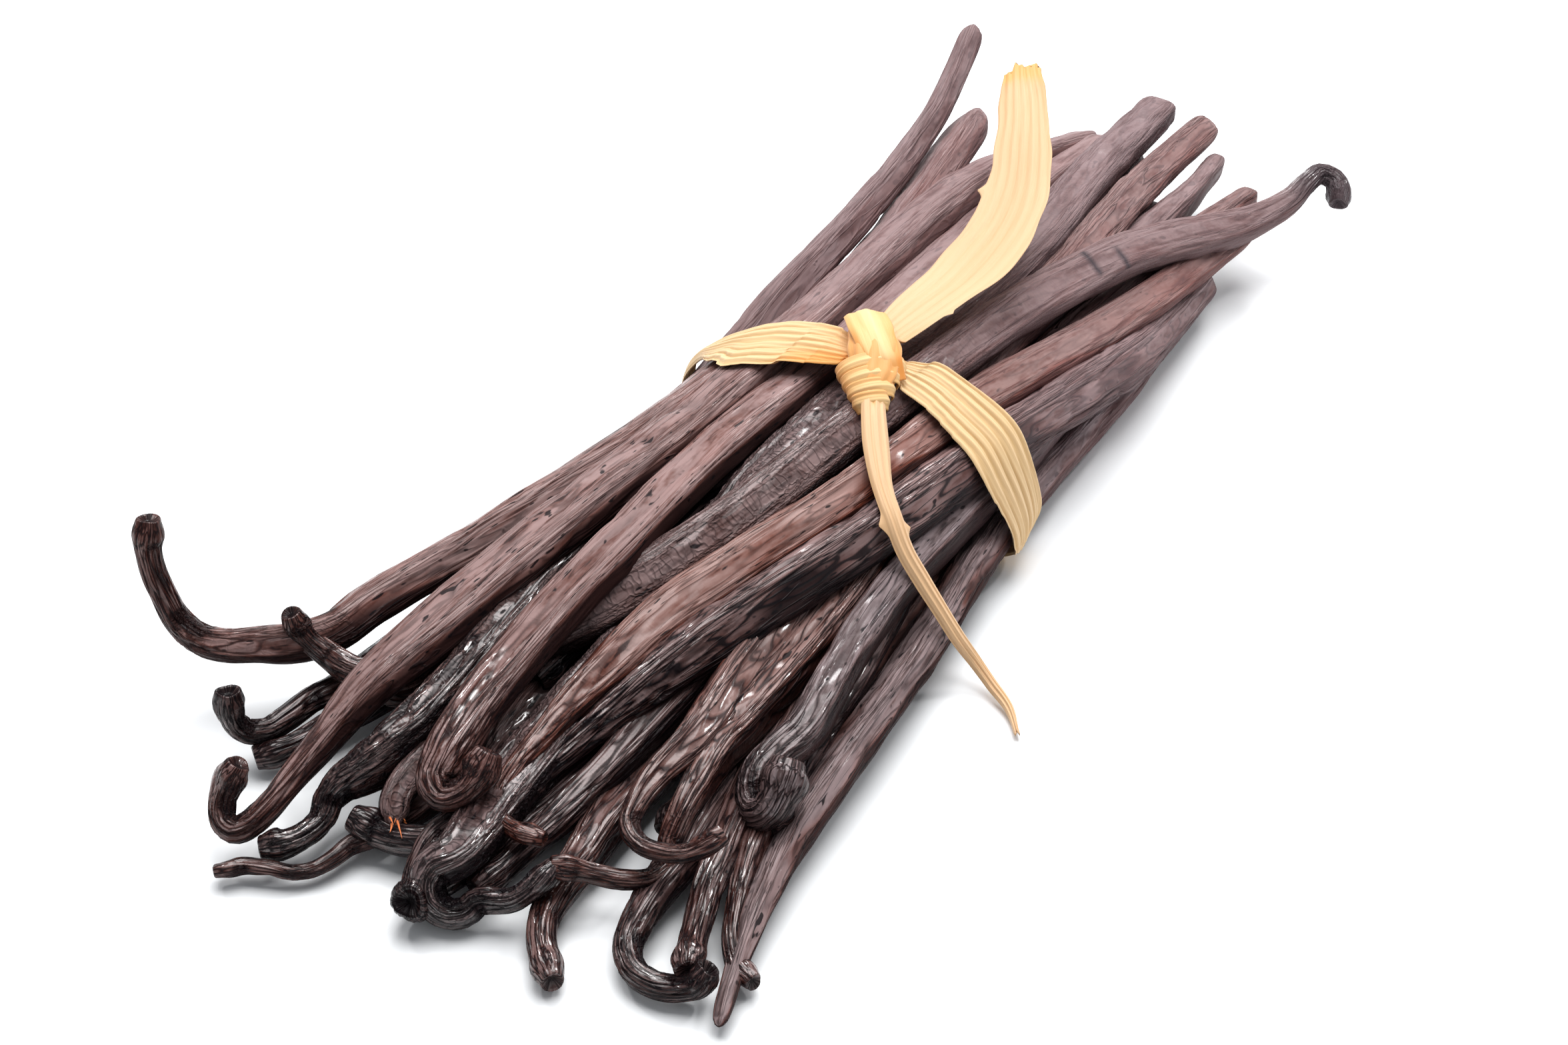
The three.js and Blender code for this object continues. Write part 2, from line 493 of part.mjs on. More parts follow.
// How far from the waist's middle the pods reach in a direction across the bundle, over some slices.
function waistReach(angle, [from, to]) {
  const n = [Math.cos(angle), Math.sin(angle)];
  const under = laid.map((row) => row.filter((slot, s) => slot && slices[s] >= from && slices[s] <= to));
  return Math.max(...PODS.flatMap((pod, k) => {
    const facing = facingOf(pod);
    const middleAt = ([y, z]) => y * n[0] + (z - WAIST_MIDDLE) * n[1];
    return under[k].map(({ at, half }) => middleAt(at) + reachOf(half, facing, n));
  }));
}

// The same, averaged with the directions beside it, because a stiff strip bends in wide arcs.
function easedReach(angle, over) {
  const { degToRad } = THREE.MathUtils;
  const [sum, weights] = [[], []];
  for (let off = -EASE_REACH; off <= EASE_REACH; off += EASE_STEP) {
    const weight = Math.exp(-((off / EASE_WIDTH) ** 2) / 2);
    sum.push(weight * waistReach(angle + degToRad(off), over));
    weights.push(weight);
  }
  const total = (values) => values.reduce((a, b) => a + b, 0);
  return total(sum) / total(weights);
}

// A point of the tight loop round the waist, a gap away from it. Where the loop faces angle a, it lies as
// far out as the waist reaches that way, and as far along itself as that reach grows with a.
function loopPoint(angle, gap, over) {
  const a = Math.atan2(Math.sin(angle) / WAIST_HALF[1], Math.cos(angle) / WAIST_HALF[0]);
  const turn = 0.02;
  const reach = easedReach(a, over) + gap;
  const slope = (easedReach(a + turn, over) - easedReach(a - turn, over)) / (2 * turn);
  const [c, d] = [Math.cos(a), Math.sin(a)];
  return [reach * c - slope * d, WAIST_MIDDLE + reach * d + slope * c];
}

// The band: a ring of four corners at each station, the outer and inner faces at both of its edges. Its far
// edge goes round the waist itself, and its near edge round the wider slices before it.
const FAR_EDGE = [-SLICE_STEP, SLICE_STEP];
const NEAR_EDGE = [-2 * SLICE_STEP, 0];

function bandSolid() {
  const ring = new THREE.TorusGeometry(2, 1, 4, BAND_STEPS);
  const corners = [[1, 1], [0, 1], [0, -1], [1, -1], [1, 1]];
  corners.forEach(([outer, edge], j) => {
    for (let i = 0; i <= BAND_STEPS; i += 1) {
      const turn = (i % BAND_STEPS) / BAND_STEPS;
      const [middle, width] = bandAt(turn * 360);
      const over = edge > 0 ? FAR_EDGE : NEAR_EDGE;
      const [y, z] = loopPoint(turn * 2 * Math.PI, BAND_GAP + outer * BAND_THICK, over);
      const height = Math.max(z, outer ? BAND_FLOOR : BAND_FLOOR + BAND_THICK / 2);
      ring.attributes.position.setXYZ(j * (BAND_STEPS + 1) + i, middle + (edge * width) / 2, y, height);
    }
  });
  return solidOf(ring);
}

// A value along a list of even steps, at 0 to 1.
function stepped(values, u) {
  const at = Math.min(u, 0.9999) * (values.length - 1);
  const k = Math.floor(at);
  return mix(values[k], values[k + 1], smoothstep(at - k));
}

// A flat strip on its route, with room left round it where a slot is cut for it.
function stripSolid({ route, widths, facing, turned = 0 }, room = 0) {
  const blank = new THREE.BoxGeometry(1, 1, 1, 1, TAIL_STEPS, 1).translate(0, 0.5, 0);
  const sizeAt = (u) => [stepped(widths, u) + 2 * room, TAIL_THICK + 2 * room];
  const [start, next] = route.map((p) => new THREE.Vector3(...p));
  const back = start.clone().addScaledVector(start.clone().sub(next).normalize(), room);
  const curve = curveOf([[...back], ...route.slice(1)]);
  return solidOf(bend(blank, curve, new THREE.Vector3(...facing), sizeAt, (u) => turned * (1 - u)));
}

// The knot: a bulb of bundled strip that narrows towards the narrow tail, under the saddle where one end of
// the strip is folded over the other.
const BULB = {
  route: [[4.2, 1.3, 24.3], [1.2, -1.4, 24.8], [-2.6, -4.4, 24.6], [-5.8, -6.2, 24], [-8.6, -7.7, 23.4]],
  half: [2.2, 3, 3.9, 3.3, 2.1],
  flat: 0.5, // its thickness against its width
};
const SADDLE = {
  route: [[5.2, 2, 24.2], [4.6, 1.5, 25.3], [1.8, -0.9, 26.4], [-1.2, -3.6, 26.6], [-3.6, -6.2, 25.7],
    [-4.9, -8.2, 24]],
  widths: [4.4, 5.4, 5.6, 5.2, 4.6, 4],
  facing: [-0.5, -0.6, 0.6],
};

function knotSolid() {
  const sides = [0.14, 0.32, 0.5, 0.68, 0.86].map((y) => [1, y]);
  const profile = [[0, 0], [0.7, 0.02], ...sides, [0.7, 0.98], [0, 1]];
  const blank = new THREE.LatheGeometry(profile.map(([r, y]) => new THREE.Vector2(r, y)), 10);
  const bulb = bend(blank, curveOf(BULB.route), new THREE.Vector3(0, 0, 1), (u) => {
    const half = stepped(BULB.half, u);
    return [half, half * BULB.flat];
  });
  return solidOf(bulb).add(stripSolid(SADDLE));
}

// The tails: where each runs, its widths in even steps, the way its face looks at its end, and how far it
// is turned about its own line at its start.
const WIDE_TAIL = {
  route: [[2.2, -2.8, 24], [10, -3.6, 24.2], [19, -5, 25], [28, -4.9, 26.8], [36, -3, 28.9],
    [45, 1.3, 31.6], [58, 8.6, 34.6]],
  widths: [6.8, 9.4, 10.8, 10, 8.8, 7.4, 5.8],
  facing: [-0.3, -0.1, 1],
  turned: -0.35,
};
const NARROW_TAIL = {
  route: [[-7.6, -7.2, 23.4], [-11.4, -9.6, 22.7], [-15.4, -12.4, 21.4], [-19.4, -15.6, 19.8],
    [-22.2, -18.8, 18], [-23.6, -21.2, 15.4], [-24, -23.8, 12.4], [-24.2, -26.4, 9.4], [-24.2, -29, 6.2],
    [-23.8, -31.2, 3.4], [-24.6, -34, 1.6], [-26.4, -37.2, 0.9], [-30, -40.4, 0.6]],
  widths: [3, 3.4, 2.6, 2.4, 2.1, 1.7, 0.9],
  facing: [0, 0, 1],
};

// The band and the knot are one body, with a slot where each tail comes out.
function tieSolid() {
  const slots = [WIDE_TAIL, NARROW_TAIL].map((tail) => stripSolid(tail, SLOT_ROOM));
  return bodyOf(slots.reduce((tie, slot) => tie.subtract(slot), bandSolid().add(knotSolid())));
}

// ---- the object --------------------------------------------------------------------------------
const podSkin = new THREE.MeshStandardMaterial({ color: 0x3a2620, roughness: 0.45, metalness: 0 });
const raffia = new THREE.MeshStandardMaterial({ color: 0xf2d79a, roughness: 0.7, metalness: 0 });

const group = new THREE.Group();
const parts = {
  pods: [bundle, podSkin],
  raffia_tie: [tieSolid(), raffia],
  tail_wide: [stripSolid(WIDE_TAIL), raffia],
  tail_narrow: [stripSolid(NARROW_TAIL), raffia],
};
for (const [name, [solid, material]] of Object.entries(parts)) {
  const placed = solidOf(geometryOf(solid).translate(...PLACE));
  const mesh = new THREE.Mesh(geometryOf(bodyOf(placed)), material.clone());
  mesh.name = name;
  group.add(mesh);
}

export default group;
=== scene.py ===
"""A bundle of cured vanilla pods, tied round its waist with a strip of raffia.

Metres, +Z up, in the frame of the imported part: X runs along the pods, from their hooked stems to their
far tips, and Y across the bundle. Sizes here are in millimetres from the middle of the tie, at table
height, and each mesh is written in metres from the part's origin.
"""
import math

import bpy
import numpy as np
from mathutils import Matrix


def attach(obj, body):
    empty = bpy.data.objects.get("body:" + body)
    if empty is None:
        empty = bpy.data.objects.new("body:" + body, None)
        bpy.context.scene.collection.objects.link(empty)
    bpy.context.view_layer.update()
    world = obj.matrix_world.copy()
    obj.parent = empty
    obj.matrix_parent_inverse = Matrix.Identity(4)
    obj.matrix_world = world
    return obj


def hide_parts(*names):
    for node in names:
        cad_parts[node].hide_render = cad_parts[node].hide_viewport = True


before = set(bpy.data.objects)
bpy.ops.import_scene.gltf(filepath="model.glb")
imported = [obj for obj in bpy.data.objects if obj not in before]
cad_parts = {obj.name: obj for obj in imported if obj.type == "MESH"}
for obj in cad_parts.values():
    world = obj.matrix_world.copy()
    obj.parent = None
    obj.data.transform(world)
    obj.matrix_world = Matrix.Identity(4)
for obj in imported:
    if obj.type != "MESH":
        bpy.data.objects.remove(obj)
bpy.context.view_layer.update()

MM = 0.001
PLACE = np.array([0.81, -6.24, 0.0])  # from the part's origin to the middle of the tie


# ---- camera --------------------------------------------------------------------------------------
# It stands to the front left of the stem ends and looks down along the bundle, so that the far tips
# rise to the top right of the frame.
CAMERA_AT = np.array([-232.7, -137.9, 199.6])
CAMERA_TURN = math.radians(57.5)  # from +Y towards +X
CAMERA_DOWN = math.radians(37.0)
CAMERA_LENS = 60.0  # on a sensor 36 mm wide


def stand(made, side, up, back, at):
    """Puts a camera or a lamp, with its axes along these directions, at a place in metres."""
    bpy.context.scene.collection.objects.link(made)
    made.matrix_world = np.vstack([np.column_stack([side, up, back, at]), [0, 0, 0, 1]]).T.tolist()


ahead = np.array([math.sin(CAMERA_TURN), math.cos(CAMERA_TURN), 0.0])
to_right = np.array([math.cos(CAMERA_TURN), -math.sin(CAMERA_TURN), 0.0])
forward = ahead * math.cos(CAMERA_DOWN) - np.array([0, 0, math.sin(CAMERA_DOWN)])
camera = bpy.data.objects.new("camera", bpy.data.cameras.new("camera"))
camera.data.lens = CAMERA_LENS
camera.data.clip_start = 0.01
camera.rotation_mode = "QUATERNION"
stand(camera, to_right, np.cross(to_right, forward), -forward, (CAMERA_AT + PLACE) * MM)
bpy.context.scene.camera = camera
bpy.context.scene.view_settings.view_transform = "Standard"


# ---- the raffia's two tails ----------------------------------------------------------------------
# Raffia is the dried skin of a palm leaf, torn lengthwise into a thin, stiff, pleated strip. The strip
# that ties the bundle leaves the knot as two free ends: a broad one that stands up and back over the
# pods, and a rolled, narrow one that falls over the right shoulder to the table.
WIDE_TAIL = [
    (2.2, -2.8, 24), (10, -3.6, 24.2), (19, -5, 25), (28, -4.9, 26.8), (36, -3, 28.9), (45, 1.3, 31.6),
    (58, 8.6, 34.6)]
WIDE_TAIL_WIDTHS = [6.8, 9.4, 10.6, 9.2, 7.8, 6.6, 5.2]
NARROW_TAIL = [
    (-7.6, -7.2, 23.4), (-11.4, -9.6, 22.7), (-15.4, -12.4, 21.4), (-19.4, -15.6, 19.8), (-22.2, -18.8, 18),
    (-23.6, -21.2, 15.4), (-24, -23.8, 12.4), (-24.2, -26.4, 9.4), (-24.2, -29, 6.2), (-23.8, -31.2, 3.4),
    (-24.6, -34, 1.6), (-26.4, -37.2, 0.9), (-30, -40.4, 0.6)]
NARROW_TAIL_WIDTHS = [3, 3.4, 2.6, 2.4, 2.1, 1.6, 0.7]
TAIL_STATIONS = 220
STRIP_ACROSS = 40  # points over a strip's width, on each face
STRIP_THICK = 0.22
TORN_REACH = 6  # how far from a strip's end its tears reach
CURVE_STEPS = 60  # points on a curve from each point of its route to the next


def ease(x):
    """3x^2 - 2x^3, held at 0 below 0 and at 1 above 1."""
    x = np.clip(x, 0, 1)
    return x * x * (3 - 2 * x)


def stepped(values, share):
    """Values in even steps along something, at shares from 0 to 1 of it, eased from step to step."""
    at = np.minimum(share, 0.9999) * (len(values) - 1)
    low = at.astype(int)
    values = np.asarray(values, float)
    return values[low] + (values[low + 1] - values[low]) * ease(at - low)


def unit(v):
    return v / np.linalg.norm(v, axis=-1, keepdims=True)


def curve_through(points):
    """A smooth line through points, close set: on each stretch from b to c, with a before and d after, the
    cubic whose slopes come from the square roots of the distances between the points."""
    p = np.asarray(points, float)
    p = np.vstack([2 * p[0] - p[1], p, 2 * p[-1] - p[-2]])
    step = np.sqrt(np.linalg.norm(np.diff(p, axis=0), axis=1))[:, None]
    a, b, c, d = p[:-3], p[1:-2], p[2:-1], p[3:]
    ab, bc, cd = step[:-2], step[1:-1], step[2:]
    leave = ((b - a) / ab - (c - a) / (ab + bc) + (c - b) / bc) * bc
    reach = ((c - b) / bc - (d - b) / (bc + cd) + (d - c) / cd) * bc
    u = np.linspace(0, 1, CURVE_STEPS, endpoint=False)[:, None, None]
    line = (b + leave * u + (3 * (c - b) - 2 * leave - reach) * u ** 2
            + (2 * (b - c) + leave + reach) * u ** 3)
    return np.vstack([line.transpose(1, 0, 2).reshape(-1, 3), p[-2:-1]])


def length_along(line):
    return np.concatenate([[0], np.cumsum(np.linalg.norm(np.diff(line, axis=0), axis=1))])


def points_at(distances, reach, line):
    return np.column_stack([np.interp(distances, reach, line[:, k]) for k in range(3)])


def stations(line, distances, facing):
    """The middle, side, out and along directions at distances along a line. Out faces the given way at the
    far end and is carried back from station to station, kept square to the line, so it never spins."""
    reach = length_along(line)
    along = unit(points_at(distances, reach, np.gradient(line, reach, axis=0)))
    out = np.empty_like(along)
    last = np.asarray(facing, float)
    for k in range(len(along) - 1, -1, -1):
        last = unit(last - along[k] * (last @ along[k]))
        out[k] = last
    return points_at(distances, reach, line), np.cross(along, out), out, along


def ring_faces(rings, around, closes=False):
    """Four-cornered faces from each ring of points to the next, and from the last back to the first if the
    tube closes."""
    ring = np.arange(rings if closes else rings - 1)[:, None] * around
    after_ring = (ring + around) % (rings * around)
    at = np.arange(around)
    after = (at + 1) % around
    corners = np.stack([ring + at, ring + after, after_ring + after, after_ring + at], -1)
    return corners.reshape(-1, 4).tolist()


def make_piece(name, points, faces, data):
    """A smooth mesh from points in millimetres. data holds named numbers or vectors, one for each point."""
    mesh = bpy.data.meshes.new(name)
    mesh.from_pydata((points + PLACE) * MM, [], faces)
    mesh.polygons.foreach_set("use_smooth", [True] * len(mesh.polygons))
    for key, values in data.items():
        kind, field = ("FLOAT_VECTOR", "vector") if values.shape[1] == 3 else ("FLOAT", "value")
        layer = mesh.attributes.new(key, kind, "POINT")
        layer.data.foreach_set(field, values.astype(np.float32).ravel())
    piece = bpy.data.objects.new(name, mesh)
    bpy.context.scene.collection.objects.link(piece)
    return piece


def loop_piece(name, rings, data):
    """A tube of rings of points, (rings, around, 3), that meets itself. data has a value for each point."""
    count, around = rings.shape[:2]
    flat = {key: values.reshape(count * around, -1) for key, values in data.items()}
    return make_piece(name, rings.reshape(-1, 3), ring_faces(count, around, True), flat)


def closed_piece(name, rings, poles, data):
    """The same with two ends, where faces in a fan close it to a point at each pole."""
    count, around = rings.shape[:2]
    at, first, top = np.arange(around), count * around, (count - 1) * around
    after = (at + 1) % around
    fans = np.vstack([np.column_stack([np.full(around, first), after, at]),
                      np.column_stack([np.full(around, first + 1), top + at, top + after])])
    flat = {key: values.reshape(first, -1) for key, values in data.items()}
    flat = {key: np.vstack([v, v[:around].mean(0), v[-around:].mean(0)]) for key, v in flat.items()}
    points = np.vstack([rings.reshape(-1, 3), poles])
    return make_piece(name, points, ring_faces(count, around) + fans.tolist(), flat)


def waves(rng, around, along, turns, pitch, count=14, fewest=0):
    """Smooth noise of about unit size: a sum of cosines, each with a whole number of turns round the piece
    from fewest up to turns, and a wave along it no shorter than pitch millimetres."""
    total = 0
    for _ in range(count):
        n = rng.integers(fewest, turns + 1)
        k = 2 * math.pi / (pitch * rng.uniform(1, 3.5)) * rng.choice([-1, 1])
        total = total + np.cos(n * around + k * along + rng.uniform(0, 2 * math.pi))
    return total * math.sqrt(2 / count)


def flat_section(across):
    """Round a strip, over its outer face and back under its inner one: where each point lies from edge to
    edge, -1 to 1, its face, 1 or -1, and its height off the middle, which rounds off at the edges."""
    over = np.linspace(-1, 1, across)
    v = np.concatenate([over, over[::-1]])[None, :]
    face = np.repeat([1.0, -1.0], across)[None, :]
    return v, face, face * np.sqrt(np.clip(1 - v ** 8, 0.02, 1)) * STRIP_THICK / 2


def strip(name, middle, side, out, half, fold, ends, stain, nick=None):
    """A thin pleated strip. fold(v, s) lifts both faces, v from -1 to 1 across and s along; ends(v) is how
    far in millimetres the far end is torn back at v; stain(v, s) is 1 where it is most orange; nick(v, s)
    moves a point sideways, for thorns and fraying at the edges."""
    v, face, skin = flat_section(STRIP_ACROSS)
    s = np.broadcast_to(length_along(middle)[:, None], (len(middle), v.shape[1]))
    lift = fold(v, s) + 0 * s
    torn = ends(v) * ease((s - s[-1] + TORN_REACH) / TORN_REACH)
    across = v * half[:, None] + (nick(v, s) if nick else 0)
    along = unit(np.gradient(middle, axis=0))
    rings = (middle[:, None] + side[:, None] * across[..., None]
             + out[:, None] * (lift + skin)[..., None] - along[:, None] * torn[..., None])
    fibre = np.stack([v * half[:, None], face * np.ones_like(s), s], -1)
    data = {"fibre": fibre, "fold": lift, "stain": stain(v, s) + 0 * s}
    return closed_piece(name, rings, [rings[0].mean(0), rings[-1].mean(0)], data)


def connect(socket, value):
    """Links a shader value to a socket, or sets a constant on it."""
    value = value.socket if isinstance(value, Value) else value
    if isinstance(value, bpy.types.NodeSocket):
        socket.id_data.links.new(value, socket)
    else:
        socket.default_value = value


def place_node(tree, kind, inputs=None, **settings):
    """A node with its settings, and its inputs linked or set, by name or number."""
    made = tree.nodes.new(kind)
    for key, value in settings.items():
        setattr(made, key, value)
    for key, value in (inputs or {}).items():
        connect(made.inputs[key], value)
    return made


class Value:
    """A number, vector or colour in a shader. Arithmetic on it adds Math nodes."""

    def __init__(self, socket):
        self.socket = socket

    def node(self, kind, inputs, output=0, **settings):
        return Value(place_node(self.socket.id_data, kind, inputs, **settings).outputs[output])

    def combined(self, way, other=0.0):
        return self.node("ShaderNodeMath", {0: self, 1: other}, operation=way)

    def __add__(self, other):
        return self.combined("ADD", other)

    def __mul__(self, other):
        return self.combined("MULTIPLY", other)

    def __sub__(self, other):
        return self.combined("SUBTRACT", other)

    def __rsub__(self, other):
        return self * -1.0 + other

    def __pow__(self, other):
        return self.combined("POWER", other)

    def __abs__(self):
        return self.combined("ABSOLUTE")

    __radd__, __rmul__ = __add__, __mul__


def most(first, *others):
    """The largest of some shader values."""
    for other in others:
        first = first.combined("MAXIMUM", other)
    return first


def ramp(value, low, high):
    """A straight ramp between two stops, each a value and the ramp's height there."""
    made = value.node("ShaderNodeValToRGB", {0: value})
    for element, (position, height) in zip(made.socket.node.color_ramp.elements, (low, high)):
        element.position = position
        element.color = (height, height, height, 1)
    return made


def blended(share, a, b):
    """From colour a, at a share of 0, to colour b, at 1."""
    return share.node("ShaderNodeMix", {0: share, 6: a, 7: b}, 2, data_type="RGBA")


def stretched(where, scale):
    return where.node("ShaderNodeMapping", {"Vector": where, "Scale": scale})


def noise(where, scale, detail=2.0, rough=0.6):
    """Noise on a position that is first stretched by scale along each of its axes."""
    inputs = {"Vector": stretched(where, scale), "Scale": 1.0, "Detail": detail, "Roughness": rough}
    return where.node("ShaderNodeTexNoise", inputs, "Fac")


def new_group(name, vector, numbers, colours, outputs):
    """A node group with named sockets. Gives the group, and its inputs by name."""
    tree = bpy.data.node_groups.new(name, "ShaderNodeTree")
    kinds = {vector: "Vector", **dict.fromkeys(numbers, "Float"), **dict.fromkeys(colours, "Color")}
    for key, kind in kinds.items():
        tree.interface.new_socket(name=key, in_out="INPUT", socket_type="NodeSocket" + kind)
    for key in outputs:
        kind = "NodeSocketColor" if key == "Color" else "NodeSocketFloat"
        tree.interface.new_socket(name=key, in_out="OUTPUT", socket_type=kind)
    given = place_node(tree, "NodeGroupInput").outputs
    return tree, {key: Value(given[key]) for key in kinds}


def fed_material(name, group, given, bump_strength, bump_height, constants):
    """A material whose Principled shader is fed by a node group. The group's inputs that aren't given are
    read from the mesh's attributes of the same names, in small letters."""
    material = bpy.data.materials.new(name)
    material.use_nodes = True
    tree = material.node_tree
    fed = place_node(tree, "ShaderNodeGroup", node_tree=group)
    for socket in fed.inputs:
        read = given.get(socket.name)
        if read is None:
            attribute = place_node(tree, "ShaderNodeAttribute", attribute_name=socket.name.lower())
            read = attribute.outputs["Vector" if socket.type == "VECTOR" else "Fac"]
        connect(socket, read)
    bump = place_node(tree, "ShaderNodeBump", {
        "Strength": bump_strength, "Distance": bump_height * MM, "Height": fed.outputs["Height"]})
    feeds = {"Base Color": fed.outputs["Color"], "Roughness": fed.outputs["Roughness"],
             "Normal": bump.outputs[0], **constants}
    if "Coat" in fed.outputs:
        feeds["Coat Weight"] = fed.outputs["Coat"]
    for key, value in feeds.items():
        connect(tree.nodes["Principled BSDF"].inputs[key], value)
    return material


def srgb(red, green, blue):
    """A colour by its screen values, 0 to 255."""
    share = np.array([red, green, blue]) / 255
    linear = np.where(share <= 0.04045, share / 12.92, ((share + 0.055) / 1.055) ** 2.4)
    return (*(float(v) for v in linear), 1.0)


def raffia_fibres():
    """Lengthwise fibres and stains of a palm strip, from where a point lies on it in millimetres, with
    painted shade in its pleats.
    """
    tree, given = new_group("raffia_fibres", "Fibre", ("Fold", "Stain"), ("Pale", "Valley", "Orange"),
                            ("Color", "Roughness", "Height"))
    fine = noise(given["Fibre"], (7.0, 1.0, 0.22), 4.0)
    streak = 0.6 * fine + 0.5 * noise(given["Fibre"], (1.6, 1.0, 0.07))
    # painted shade where the pleats and folds lie low, mixed with the real darker fibre streaks
    valley = -1.1 * given["Fold"] + (-0.9 * streak + 0.72)
    colour = blended(ramp(valley, (0.05, 0), (0.75, 1)), given["Pale"], given["Valley"])
    orange = ramp(0.5 * streak + given["Stain"], (0.45, 0), (1, 1)) * given["Stain"]
    colour = blended(orange, colour, given["Orange"])
    place_node(tree, "NodeGroupOutput", {"Color": colour, "Roughness": 0.25 * fine + 0.42, "Height": streak})
    return tree


RAFFIA_FIBRES = raffia_fibres()


def raffia(name, pale, valley, orange):
    """Dry palm skin: a satin pale yellow with painted shade in its pleats, and orange where it was folded.
    """
    return fed_material(name, RAFFIA_FIBRES, {"Pale": pale, "Valley": valley, "Orange": orange}, 0.6, 0.12,
                        {"Sheen Weight": 0.15, "Specular IOR Level": 0.35})


strip_raffia = raffia("raffia_strip", srgb(221, 187, 139), srgb(192, 152, 94), srgb(224, 156, 78))
tail_raffia = raffia("raffia_tail", srgb(214, 174, 131), srgb(190, 146, 94), srgb(222, 158, 80))


def finish(piece, node, material):
    piece.data.materials.append(material)
    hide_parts(node)
    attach(piece, "root")


def pleats(v, s, count, depth, drift=9.0):
    """Lengthwise pleats over a strip, round on top and sharp below, that wander a little along it."""
    wander = 0.5 * np.sin(s / drift) + 0.3 * np.sin(s / (0.37 * drift) + 2)
    fine = 0.3 * np.cos(2.3 * count * math.pi * v + 1.3 + s / 30)
    return depth * (2 * np.abs(np.cos(count * math.pi / 2 * v + wander)) - 1 + fine)


def tail(name, route, widths, facing, turned, fold, ends, stain, nick):
    """One free end: a strip on its route, turned about its own line by less and less towards its end."""
    line = curve_through(route)
    reach = length_along(line)[-1]
    distances = np.linspace(0, reach, TAIL_STATIONS)
    middle, side, out, _ = stations(line, distances, facing)
    turn = (turned * (1 - distances / reach))[:, None]
    side, out = side * np.cos(turn) - out * np.sin(turn), out * np.cos(turn) + side * np.sin(turn)
    half = stepped(widths, distances / reach) / 2
    piece = strip(name, middle, side, out, half, fold, ends, lambda v, s: stain(v, s / reach), nick)
    (middle[0] + PLACE) * MM
    ((middle + PLACE) * MM).tolist()
    finish(piece, name, tail_raffia)


def thorn(s, at, size):
    """A small pointed tag that stands out of an edge at a distance along the strip."""
    return size * np.maximum(0, 1 - np.abs(s - at) / (1.4 * size + 0.3)) ** 1.5


def groove(v, half_width):
    """1 in the middle of the narrow tail's rolled groove, and falling off to both sides of it."""
    return np.exp(-((v - 0.1) / half_width) ** 2)


tail("tail_wide", WIDE_TAIL, WIDE_TAIL_WIDTHS, (-0.3, -0.1, 1), -0.35,
     fold=lambda v, s: pleats(v, s, 6, 0.08) + 0.5 * v * v * (np.sin(s / 17 + 0.6) - ease(1 - s / 12)),
     ends=lambda v: (0.9 * np.abs(np.sin(3.1 * v + 0.9)) + 0.5 * np.abs(np.sin(8.3 * v))
                     + 1.2 * ease((-0.35 - v) / 0.3)),
     stain=lambda v, share: 0.1 + 0.75 * ease((share - 0.87) / 0.12) + 0.2 * ease((0.12 - share) / 0.1),
     nick=lambda v, s: (-thorn(s, 34, 0.9) * (v < -0.9) + thorn(s, 8, 0.6) * (v > 0.9)
                        + 0.12 * v ** 7 * np.sin(s / 1.7) * np.sin(s / 4.1 + v)))
tail("tail_narrow", NARROW_TAIL, NARROW_TAIL_WIDTHS, (0, 0, 1), 0,
     fold=lambda v, s: (0.5 * (1 - v * v) + pleats(v, s, 3, 0.1, 14)
                        - 0.35 * groove(v, 0.16) * ease(1 - s / 6)),
     ends=lambda v: 0.8 * np.abs(np.sin(4 * v)),
     stain=lambda v, share: 0.08 + 0.9 * groove(v, 0.2) * ease((0.08 - share) / 0.05),
     nick=lambda v, s: thorn(s, 20, 0.9) * (v > 0.9) - thorn(s, 21, 0.6) * (v < -0.9))
